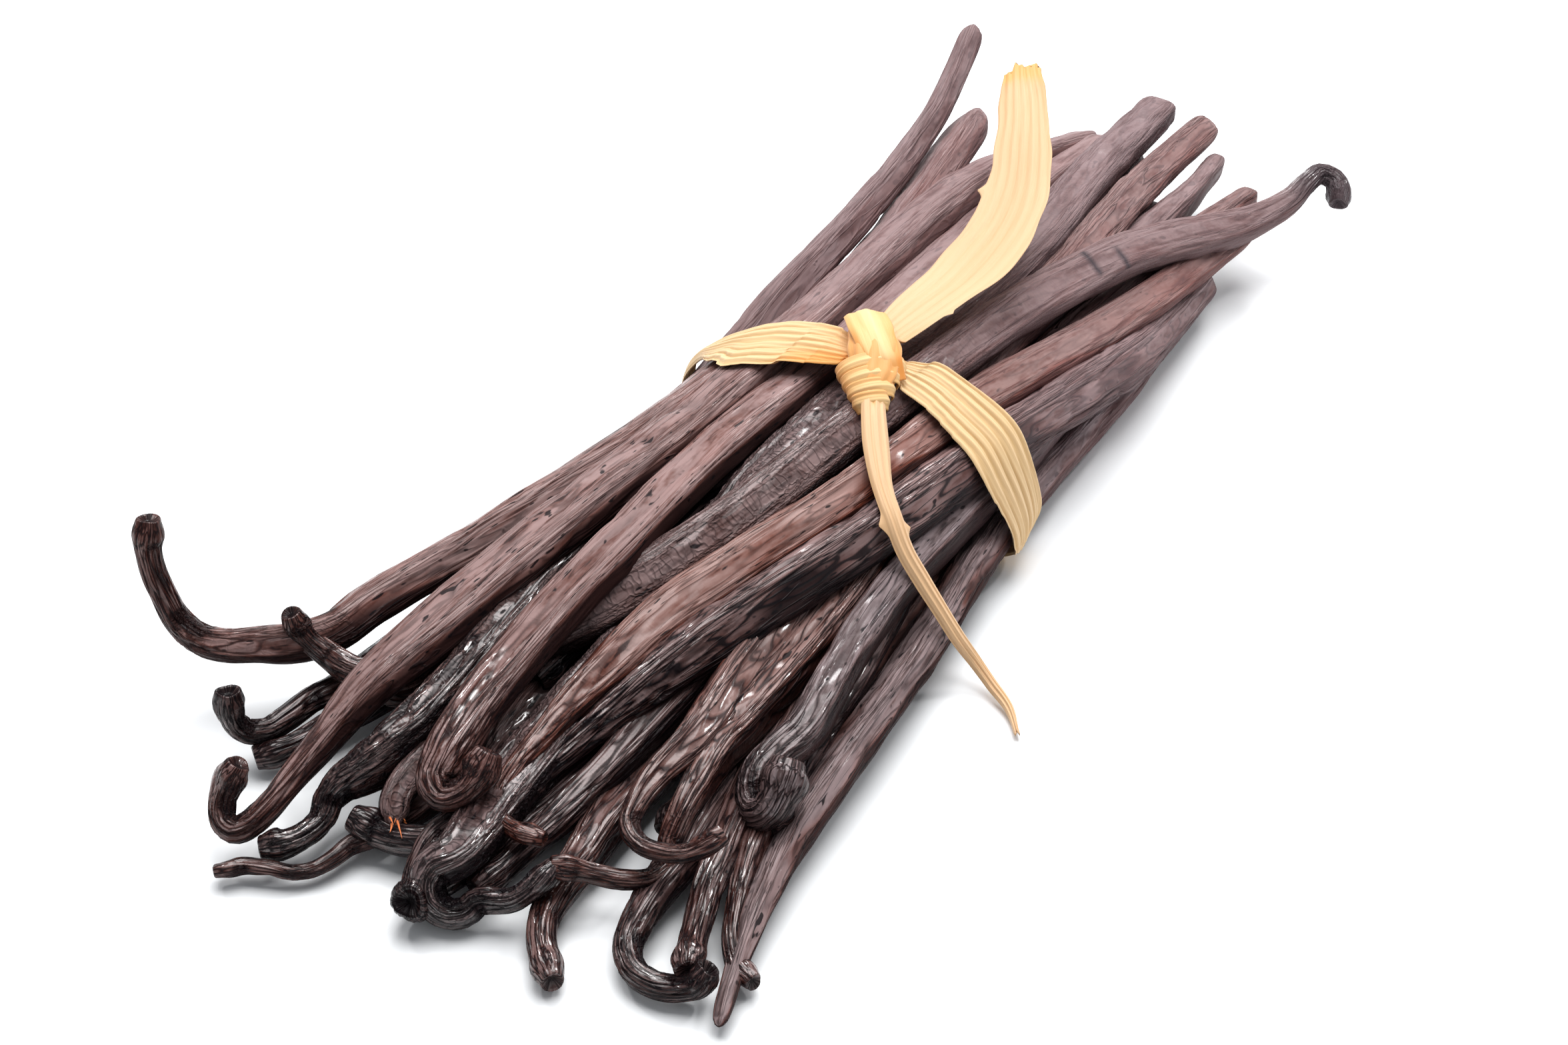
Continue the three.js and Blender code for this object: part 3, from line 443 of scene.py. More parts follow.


# ---- the pods ------------------------------------------------------------------------------------
# A cured vanilla pod is a soft, oily, three-sided fruit that dries flat and wrinkles lengthwise. Each hangs
# from a thin neck with a blunt knob where it was picked, which curls into a hook as it cures. The pods are
# sorted by length, laid side by side with their stems together, and pressed against each other by the tie.
#
# A row is one pod. wide and thick are its full body's sizes. It keeps its neck's width for the length held
# and widens over the length taper. It thins over the length slender to the share tip of its size, and ends
# as blunt as blunt says, from 0 to 1. body is where it lies, as along, across and up from the tie, from its
# near end to its far end, and hook and far_hook are how it goes on past them. A pod with stem "far" lies the
# other way round. ridges, gloss, red, grey, crinkle and dark are how strongly it shows each, from 0 to 1,
# hollow is how deep its stem's scar is, and fade is over what length its wet look ends. cracks are open ones
# across it: where each lies along the bundle, and where it starts and ends, in degrees round the pod.
# dark is partly a pod's own near-black and partly painted shade on the pods that lie low or buried in the
# bundle
TOP_PODS = [
    dict(wide=6.6, thick=4.8, neck=2.8, held=5, taper=30, tip=1.05, blunt=0.15, ridges=0.5, gloss=0.4,
         red=0.5,
         body=[(-65.2, 29.5, 8.5), (-59.6, 28.2, 9.5), (-43, 23, 11), (-23, 17, 14), (0, 16.5, 14.5),
               (26.3, 14.6, 14.4), (39.5, 16.7, 14.9), (52, 18.6, 15.4), (63.5, 20.5, 15.9),
               (72.3, 22.3, 16.4)],
         hook=[(-68.6, 32.3, 8), (-71, 35.5, 8), (-73.2, 38.7, 8), (-74.4, 41.9, 8.5), (-74.6, 44.5, 10.2),
               (-74.7, 45.9, 13), (-75, 46.8, 17), (-74.5, 47.4, 20), (-73.8, 47.3, 22.5)]),
    dict(wide=7.4, thick=4.4, neck=2.9, held=15, taper=28, ridges=0.45, gloss=0.3, red=0.45,
         body=[(-77.2, 19.1, 8.6), (-73, 18.5, 10.6), (-51, 15, 14.5), (-31, 12.5, 16.5), (0, 11.5, 17.5),
               (57, 13, 15), (84, 10, 10)],
         hook=[(-80.9, 19.4, 7.1), (-84.8, 19.7, 5.6), (-88.5, 20, 4.3), (-90.9, 20.4, 3.7),
               (-92.2, 21.4, 3.5), (-92.1, 22.8, 4), (-91, 23.8, 5.4), (-89.7, 23.8, 7.3),
               (-88.6, 23.1, 9.1)]),
    dict(wide=5.6, thick=3.8, neck=3.2, held=5, taper=9, ridges=0.2, gloss=0.12, red=0.45,
         body=[(-69.5, 5.6, 12.9), (-64.2, 6.1, 14.4), (-49, 5, 17.5), (-20, 6, 19), (0, 4.5, 18.5),
               (40, 5.5, 17), (82, 7, 12)],
         hook=[(-73.3, 5.2, 11.9), (-76.7, 4.7, 10.9), (-79.1, 4.2, 9.9), (-79.7, 2.5, 9.1),
               (-78.5, 0.8, 9.7), (-76.7, 0, 11.1), (-75.2, -0.2, 12.7)]),
    dict(wide=6.6, thick=4.4, neck=2.3, tip=0.84, ridges=0.6, gloss=0.9, red=0.1, crinkle=1, dark=0.5,
         body=[(-75.5, -0.3, 5.9), (-69.1, 0.8, 6.7), (-60, 0, 8), (-40, 0, 11), (-20, 1, 15),
               (0, -1.5, 17), (33, -4, 17), (53, -2, 15.5), (68.7, 1.6, 13.9), (82, 1.8, 13.9),
               (92.8, 2.1, 13.9)],
         hook=[(-80.4, -1.2, 5.7), (-85, -1.8, 6.1), (-86.4, -0.6, 5.4), (-87.8, -0.4, 4),
               (-88.5, -1.5, 2.4), (-88.2, -3.2, 1.5), (-87.2, -4.7, 1.6), (-85.9, -5.5, 2.4),
               (-84.3, -8.8, 3.1), (-82.5, -10.3, 4.3), (-80.2, -11.1, 5.7)]),
    dict(wide=6, thick=4.6, neck=2.8, held=5, taper=34, stem="far", ridges=0.4, gloss=0.5, red=0.3,
         crinkle=0.6, dark=0.6, fade=10, cracks=[(39, 70, 128), (45, 50, 95)],
         body=[(-65.3, 10.6, 8.6), (-58.7, 11.4, 9.4), (-44, 1, 14.5), (-27, -2, 16.5), (0, -7, 18),
               (30, -9, 15.5), (53, -13, 13), (66.3, -17.2, 9.1), (71.7, -19.8, 9), (76.3, -21.8, 9.2)],
         hook=[(-70.4, 9.6, 8.4), (-74.3, 9.1, 8), (-77.7, 9.3, 7.4), (-80.3, 9, 6.6), (-82.3, 8, 5.4)],
         far_hook=[(81, -23.5, 9.8), (85.2, -24.1, 10.8), (88.5, -24.9, 11.1), (89, -26.9, 10.4),
                   (87.6, -28.3, 9.4), (86.3, -28.9, 8.8)]),
    dict(wide=5.4, thick=4.6, neck=1.9, held=6, taper=32, ridges=0.5, gloss=0.35, red=1, dark=0.1,
         body=[(-62.7, -1.3, 10), (-57.7, -0.8, 11), (-42, -5, 14), (-19, -12, 16), (0, -13.6, 16.3),
               (28, -16, 11), (45, -18, 9), (77, -19, 6)],
         hook=[(-67.2, -1.1, 9), (-72, -0.9, 8), (-75.8, -1.5, 7), (-77.8, -3.4, 6.3), (-78.2, -6, 6),
               (-77.6, -8.6, 6)]),
    dict(wide=6.2, thick=4.8, ridges=1, gloss=0.6, red=0.25, dark=0.45,
         body=[(-70.4, -2, 5.7), (-64.5, -3.1, 6.7), (-57.7, -4.6, 8.7), (-44, -11, 12), (-25, -16, 13.5),
               (0, -18.3, 13), (35, -19, 8), (64, -18, 6.5)],
         hook=[(-73, -1.4, 5.2)])]
RIGHT_PODS = [
    dict(wide=5.6, thick=4.2, neck=4.2, held=10, taper=14, ridges=0.3, gloss=0.25, grey=0.8, dark=0.1,
         body=[(-51.7, -24.1, 8.5), (-47.1, -23.8, 8.5), (-37, -20.5, 9), (-12, -19.5, 9.4), (0, -20, 9.4),
               (56, -14, 6)],
         hook=[(-55.2, -23.4, 8), (-57.8, -23, 7.3), (-60.2, -23.8, 6.2), (-61.7, -25.4, 6.1),
               (-61.5, -26.6, 7), (-60, -26.9, 8.7), (-58, -26.6, 10.4)]),
    dict(wide=4.9, thick=4, tip=0.36, stem="far", ridges=0.6, gloss=0.2, red=0.5, grey=0.6, fade=10,
         body=[(-61.2, -29.1, 3.6), (-53, -28, 4.3), (-42.8, -26.8, 5), (-33, -26.5, 4), (0, -20.5, 5),
               (42, -19, 3), (62, -18, 3)],
         hook=[(-69.4, -31, 3.2), (-76.6, -33.1, 2.6), (-81.6, -34.8, 2.2), (-85.2, -36.2, 1.9)]),
    dict(wide=5.6, thick=4.4, neck=2.1, held=8, taper=30, tip=0.8, ridges=0.8, gloss=0.5, red=0.8, dark=0.5,
         body=[(-65.4, -15.5, 10.7), (-60.2, -16, 11.2), (-46, -14, 10.5), (0, -9, 14), (37, -9, 14.5),
               (70.2, -4.1, 11.7), (83.9, -3.9, 11.2), (95, -4.2, 11.2)],
         hook=[(-69.5, -15.7, 10.2), (-72.5, -16.4, 9.2), (-73.9, -18.7, 8.7), (-73.7, -21.4, 8.7),
               (-73, -23.5, 9), (-71.5, -25, 9.5), (-69.6, -26.2, 10.2)]),
    dict(wide=5.4, thick=4.4, neck=2.1, held=9, taper=30, tip=0.7, ridges=0.9, gloss=0.6, red=0.8, dark=0.4,
         body=[(-58.1, -16.8, 9.3), (-39, -16, 9), (0, -13.6, 10.6), (71.2, -13.8, 6.4), (80.7, -14.6, 6.4),
               (87.1, -15.7, 6.4)],
         hook=[(-63.5, -17.7, 8.8), (-67.6, -18.2, 7.8), (-70.1, -18.5, 6.1), (-71.9, -19.2, 4.8),
               (-74.3, -18.8, 4.4), (-76.3, -16.8, 4.8), (-77.6, -14.7, 5.4), (-78.8, -12.4, 6.1),
               (-80.2, -10.6, 6.8)]),
    dict(wide=5.4, thick=4.4, dark=0.7,
         body=[(-68, -19, 5), (-40, -14, 6), (0, -4, 6.4), (76, -6, 5)]),
    dict(wide=4.8, thick=4, dark=0.7,
         body=[(-62, -27, 6), (-40, -22.5, 6), (0, -15.5, 6.5), (60, -14, 5)])]
TABLE_PODS = [
    dict(wide=5.2, thick=4.2, neck=2.2, held=6, taper=30, gloss=0.6, red=0.5, dark=0.35,
         body=[(-63.6, -26.6, 5), (-40, -21, 2.6), (0, -17.5, 2.8), (62, -14, 2.6)],
         hook=[(-67.8, -28.1, 4.3), (-71.8, -29.8, 3.7), (-75.2, -31.5, 3.2), (-77.7, -33.7, 2.9),
               (-78.9, -36.4, 2.9)]),
    dict(wide=5.6, thick=4.6, neck=2.6, held=8, taper=28, ridges=0.8, gloss=0.7, dark=0.5, hollow=0.9,
         body=[(-70.8, -20.5, 4.4), (-65.8, -19.6, 4.8), (-40, -15, 2.6), (0, -12, 2.6), (70, -9, 2.6)],
         hook=[(-75.3, -20.8, 4), (-79.6, -21.6, 3.6), (-82.3, -22.6, 3.4), (-84.3, -24.8, 3.1),
               (-84.6, -27.7, 3), (-83.8, -30.2, 3.2), (-82.8, -31.8, 4), (-82.1, -32.4, 5.6)]),
    dict(wide=5, thick=4.2, neck=2.8, ridges=0.8, gloss=0.7, red=0.4, dark=0.4,
         body=[(-63.5, -23.3, 4.8), (-58.8, -21.9, 5.3), (-40, -18, 5), (0, -9.7, 6.3), (66, -10, 5)],
         hook=[(-68.1, -24.6, 4.3), (-72, -25.7, 3.8), (-76.4, -27.4, 3.6), (-80, -29, 3.7),
               (-82.6, -30.5, 4.2)]),
    dict(wide=5.6, thick=4.4, neck=2.8, ridges=0.8, gloss=0.7, red=0.5, dark=0.35,
         body=[(-69.7, -10, 4.9), (-64.5, -9.4, 5.4), (-40, -7, 3), (0, -6, 2.6), (78, -5, 2.6)],
         hook=[(-74.7, -10.7, 4.4), (-79.5, -11.2, 4.2), (-83.3, -12.1, 4), (-86, -13.8, 3.9),
               (-88.4, -16.2, 3.9), (-89.7, -17.8, 3.9)]),
    dict(wide=6, thick=4.6, dark=0.6,
         body=[(-80.3, -6.4, 2.5), (-76.3, -7.3, 3.1), (-71.5, -8.2, 3.9), (-66.5, -9, 4.8), (-30, -11, 10),
               (0, -8, 10.3), (73, -10, 9), (92, -8, 8)],
         hook=[(-83.9, -5.7, 2.1)]),
    dict(wide=5.6, thick=4.6, neck=3.8, gloss=0.9, dark=0.8, hollow=0.5,
         body=[(-85.8, 0.5, 3.7), (-80.7, -0.8, 4.1), (-75.3, -2.2, 4.9), (-60, -1, 2.6), (0, 0, 2.6),
               (84, -2, 2.6)],
         hook=[(-88.7, 0.9, 3.7), (-90.6, 0.2, 5)]),
    dict(wide=5.6, thick=4.4, neck=1.8, gloss=0.7, dark=0.5,
         body=[(-79.3, -0.5, 6.4), (-75.4, -0.7, 7), (-60, 5, 4), (0, 7.5, 6.3), (70, 8, 6)],
         hook=[(-82, 0.4, 5.6), (-84.6, 0.4, 4.6), (-87, -0.2, 3.2), (-88.6, -2.1, 2.2)]),
    dict(wide=5.6, thick=4.4, neck=1.7, held=8, ridges=0.7, red=0.5, dark=0.3,
         body=[(-80.6, 8.3, 3.6), (-77.1, 7.4, 4.2), (-60, 9, 2.6), (0, 12, 2.6), (80, 6, 2.6)],
         hook=[(-84, 9.7, 3.2), (-86, 11, 2.8), (-88.4, 11.5, 2.5), (-90.6, 12.4, 2.3), (-92.1, 14, 2.3),
               (-93, 16.1, 2.5), (-94.3, 18.9, 2.5), (-96.2, 20.9, 2.3)])]
LEFT_PODS = [
    dict(wide=7, thick=4.8, neck=2.8, held=6, taper=14, ridges=0.9, gloss=1, red=0.4, crinkle=0.8, dark=0.8,
         body=[(-76.1, 11.9, 6.2), (-71, 10.8, 7.2), (-65.5, 9.9, 8.2), (-54, 11, 11), (0, 12, 10.3),
               (82, 12, 4)],
         hook=[(-80.1, 13.4, 5.2), (-82.2, 14.7, 4.3), (-83.8, 15.2, 3.2), (-85.5, 14.7, 2.2),
               (-87.7, 15, 1.6), (-89.8, 16.2, 1.2), (-91.4, 18, 1)]),
    dict(wide=5.2, thick=4.2, neck=2.6, taper=24, ridges=0.6, gloss=0.6, red=0.6, dark=0.2,
         body=[(-66.9, 19, 6.4), (-40, 20, 8), (0, 18.5, 10), (76, 17, 5)],
         hook=[(-67.6, 22.2, 6.9), (-68.8, 24.2, 7.7), (-68.8, 27.6, 8.5), (-68.9, 30.1, 9.7),
               (-69, 31.7, 11.2), (-69.2, 32, 12.7)]),
    dict(wide=5, thick=4.4, neck=2.8, held=8, tip=0.62, slender=80, gloss=0.5, dark=0.6, hollow=0.6,
         body=[(-68.2, 26.1, 4.2), (-63.8, 24.8, 4.4), (-30, 21, 6), (0, 19, 7), (10, 17.2, 13.4),
               (20.9, 18.6, 14.4), (32.2, 20, 15.7), (43.3, 21.3, 16.9), (54.4, 22.8, 17.9),
               (64.3, 24.2, 19.4), (72.9, 26, 21.4), (79.5, 28, 23.2), (81.8, 28.8, 23.9)],
         hook=[(-71.6, 27.4, 4), (-75.4, 27.9, 3.8), (-78.4, 28.5, 3.8), (-80, 29.8, 4.3),
               (-80.7, 30.7, 5.8), (-80.9, 31, 7.8), (-80.7, 31, 9.8)]),
    dict(wide=5.8, thick=4.6, neck=2.7, gloss=0.7, dark=0.7, hollow=0.8,
         body=[(-76.9, 26.7, 3.4), (-72, 25.4, 3.5), (-60, 24, 2.8), (0, 17, 3), (74, 13, 3)],
         hook=[(-79.1, 28, 3.1), (-80.6, 29.1, 2.9)])]
# the pods buried inside the bundle: their high dark is painted shade on their near halves
INNER_PODS = [
    dict(wide=5.8, thick=4.4, dark=1, body=[(-62, 20, 3), (0, 6.5, 2.6), (80, 14, 2.6)]),
    dict(wide=5.8, thick=4.4, neck=3.2, gloss=0.8, dark=0.8,
         body=[(-72, -1.3, 4.3), (0, 4, 10), (86, 2, 8)],
         hook=[(-77.4, -0.2, 3.9), (-81.2, 2, 3.5), (-83, 5.3, 3.3), (-83.4, 8.5, 3.4), (-83.8, 11, 4.2)]),
    dict(wide=5.8, thick=4.4, dark=1, body=[(-64, 0, 4), (0, 1.8, 6.5), (88, -1, 6)]),
    dict(wide=5.8, thick=4.4, dark=1, body=[(-60, 12, 8), (0, 9, 14), (80, 16, 8)]),
    dict(wide=5.8, thick=4.4, dark=1, body=[(-58, 5, 7), (0, 0.5, 13.4), (84, -2, 9)]),
    dict(wide=5.4, thick=4.4, dark=1, body=[(-66, 22, 6), (0, 13, 6.5), (72, 18, 8)])]

NECK_WIDTH = 2.9
STEM_REACH, TIP_REACH = 36.0, 34.0  # from the stem, and from the far tip, to the full body
TIP_SHARE = 0.58  # of the body's size that is left at the far tip
USUAL = dict(
    neck=NECK_WIDTH, held=0, taper=STEM_REACH, tip=TIP_SHARE, slender=TIP_REACH, blunt=0.6,
    hook=[], far_hook=[], stem="near", ridges=0.55, gloss=0.45, red=0.3, grey=0.0, crinkle=0.0, dark=0.0,
    hollow=0.3, fade=42, cracks=[])
PODS = [{**USUAL, **pod} for pod in TOP_PODS + RIGHT_PODS + TABLE_PODS + LEFT_PODS + INNER_PODS]

KNOB_REACH, KNOB_SHARE = 2.2, 1.25  # the knob at the stem's end, and its width against the neck's
WAIST_HALF = np.array([22.0, 10.5])  # half the tied waist, across and up
SLICES = np.arange(-90, 91, 6.0)  # where the pods settle
END_ROOM = 4  # between a body's end and the first slice that its line goes through
SETTLE_ROUNDS, STRAIGHTEN_ROUNDS = 60, 4
PRESSED = 0.96  # pods are pressed together to this share of their sizes
PUSH, RETURN = 0.35, 0.99  # the share of an overlap that a pod gives way, and of its shift that it keeps
SUNK = 0.4  # how far a pod is pressed flat on the table
TIE_LIFT, TIE_LIFT_REACH = 1.5, 10.0  # the tie under the waist lifts it off the table
SHOWN_MESH, HIDDEN_MESH = (88, 196), (40, 110)  # points round a pod, and rings along it
FIRST_SEED = 300
CLOSER_RINGS = (1.6, 26), (0.8, 14)  # at the near and the far end: how much closer, and over what length
FLAT_SIDES, FLAT_FACES = 0.5, 0.58  # powers of the section's cosine and sine, which make a rounded box of it
ROUND_NECK = 0.95  # the same for the neck, where 1 is an ellipse
EVEN_STEPS = 400  # along a pod's line, to space its rings by
WET_END = 8  # how far from the stem the wet look holds before it fades
DRY_FROM, DRY_OVER = -20, 50  # along the bundle: where the pods turn dry and dusty, and over what length
SKIN_SPREAD = 900  # each pod's skin is read this far off at most, so that no two are alike
# The rings that close a pod's end: their sizes, how far out they lie at the stem, in half thicknesses, what
# the hollow scar takes off that, and how far out they lie at the far tip.
CLOSING = np.array([1.0, 0.95, 0.84, 0.66, 0.44, 0.22])
RIM = np.array([0.0, 0.3, 0.5, 0.5, 0.4, 0.34]) / 1.4
SCAR = np.array([0, 0, 0.1, 0.6, 1, 1.1]) / 1.4
DOME = np.array([0.0, 0.3, 0.62, 0.95, 1.15, 1.28]) * 0.7


def body_at(body, x):
    """[across, up] of a body at distances along: a cubic whose slope at each point comes from the points
    beside it."""
    p = np.asarray(body, float)
    low, high = np.maximum(np.arange(len(p)) - 1, 0), np.minimum(np.arange(len(p)) + 1, len(p) - 1)
    slope = (p[high, 1:] - p[low, 1:]) / (p[high, :1] - p[low, :1])
    i = np.clip(np.searchsorted(p[:, 0], x, side="right") - 1, 0, len(p) - 2)
    span = (p[i + 1, 0] - p[i, 0])[:, None]
    u = (x[:, None] - p[i, :1]) / span
    return ((1 + 2 * u) * (1 - u) ** 2 * p[i, 1:] + u * (1 - u) ** 2 * span * slope[i]
            + u * u * (3 - 2 * u) * p[i + 1, 1:] + u * u * (u - 1) * span * slope[i + 1])


def reach_of(half, facing, n):
    """How far an ellipse with the given half width and half thickness reaches in direction n."""
    wide = n[..., 0] * facing[..., 1] - n[..., 1] * facing[..., 0]
    thick = n[..., 0] * facing[..., 0] + n[..., 1] * facing[..., 1]
    return np.hypot(half[..., 0] * wide, half[..., 1] * thick)


def beside(values, there):
    """The values at the slices beside each slice and twice its own, in all, where the pod is there."""
    padded = np.pad(values * there[..., None], ((0, 0), (1, 1), (0, 0)))
    return padded[:, :-2] + 2 * padded[:, 1:-1] + padded[:, 2:]


def settle(pods):
    """Where every pod lies at every slice once they press on each other: in each round, pods whose flattened
    sections overlap push each other apart, none goes below the table, and each slice shares its shift with
    the slices beside it, so that a pod stays stiff."""
    ends = np.array([(pod["body"][0][0], pod["body"][-1][0]) for pod in pods], float)
    there = (SLICES >= ends[:, :1]) & (SLICES <= ends[:, 1:])
    start = np.array([body_at(pod["body"], SLICES) for pod in pods])
    girth = ((TIP_SHARE + (1 - TIP_SHARE) * ease((SLICES - ends[:, :1]) / STEM_REACH))
             * (TIP_SHARE + (1 - TIP_SHARE) * ease((ends[:, 1:] - SLICES) / TIP_REACH)))
    half = np.array([(pod["wide"], pod["thick"]) for pod in pods])[:, None] / 2 * girth[..., None]
    waist = np.array([body_at(pod["body"], np.zeros(1))[0] for pod in pods])
    facing = unit((waist - [0, WAIST_HALF[1]]) / WAIST_HALF ** 2)[:, None]
    lowest = (reach_of(half, facing, np.array([0.0, 1.0]))
              + TIE_LIFT * np.exp(-(SLICES / TIE_LIFT_REACH) ** 2) - SUNK)
    both = there[:, None] & there[None] & ~np.eye(len(pods), dtype=bool)[:, :, None]
    share = beside(np.ones((*there.shape, 1)), there)
    at = start.copy()
    for _ in range(SETTLE_ROUNDS):
        gap = at[:, None] - at[None]
        apart = np.linalg.norm(gap, axis=-1) + 1e-6
        n = gap / apart[..., None]
        touching = reach_of(half[:, None], facing[:, None], n) + reach_of(half[None], facing[None], n)
        short = np.where(both, np.maximum(touching * PRESSED - apart, 0), 0)
        shift = (at + (n * short[..., None] * PUSH).sum(1) - start) * RETURN
        shift[..., 1] = np.maximum(shift[..., 1], lowest - start[..., 1])
        at = start + beside(shift, there) / np.maximum(share, 1)
    for _ in range(STRAIGHTEN_ROUNDS):
        at = np.where(share == 4, beside(at, there) / 4, at)
    at[..., 1] = np.maximum(at[..., 1], lowest)
    return there, start, at, half, facing[:, 0]


there, start, laid, laid_half, facings = settle(PODS)


def route_of(k):
    """The line along pod k from its near tip to its far tip: its hooks go with the settled body's ends."""
    pod, shown = PODS[k], np.flatnonzero(there[k])
    near, far = [np.concatenate([[0], laid[k, s] - start[k, s]]) for s in (shown[0], shown[-1])]
    body = np.column_stack([SLICES[shown], laid[k, shown]])[::2]
    inside = (body[:, 0] > pod["body"][0][0] + END_ROOM) & (body[:, 0] < pod["body"][-1][0] - END_ROOM)
    before = np.array([*reversed(pod["hook"]), pod["body"][0]], float) + near
    after = np.array([pod["body"][-1], *pod["far_hook"]], float) + far
    return np.vstack([before, body[inside], after])


def half_sizes(pod, from_stem, from_tip):
    """Half of a pod's width and thickness: they grow from the neck to the body, thin again towards the
    blossom's end, which is rounded off, and swell at the stem's knob."""
    blunt = pod["blunt"]
    grown = ease((from_stem - pod["held"]) / pod["taper"])[:, None]
    size = pod["neck"] + (np.array([pod["wide"], pod["thick"]]) - pod["neck"]) * grown
    tip = pod["tip"] + (1 - pod["tip"]) * ease(from_tip / pod["slender"])
    knob = (1 + (KNOB_SHARE - 1) * np.exp(-((from_stem - 0.7 * KNOB_REACH) / (0.6 * KNOB_REACH)) ** 2)
            - 0.08 * np.exp(-(from_stem / 0.5) ** 2))
    rounded = blunt + (1 - blunt) * np.sqrt(1 - (1 - np.clip(from_tip / (16 * (1 - blunt) ** 2), 0, 1)) ** 2)
    return size * (tip * knob * rounded)[:, None] / 2


def creases(rng, around, along, fewest, most_turns, pitch):
    """Lengthwise valleys that wander, fork and close up: 1 along the lines where smooth noise with fewest to
    most_turns waves round the pod is zero, and falling off quickly to 0 on the round ridges between them."""
    height = np.abs(waves(rng, around, along, most_turns, pitch, 18, fewest))
    return 1 - np.clip(height / 0.6, 0, 1) ** 0.55


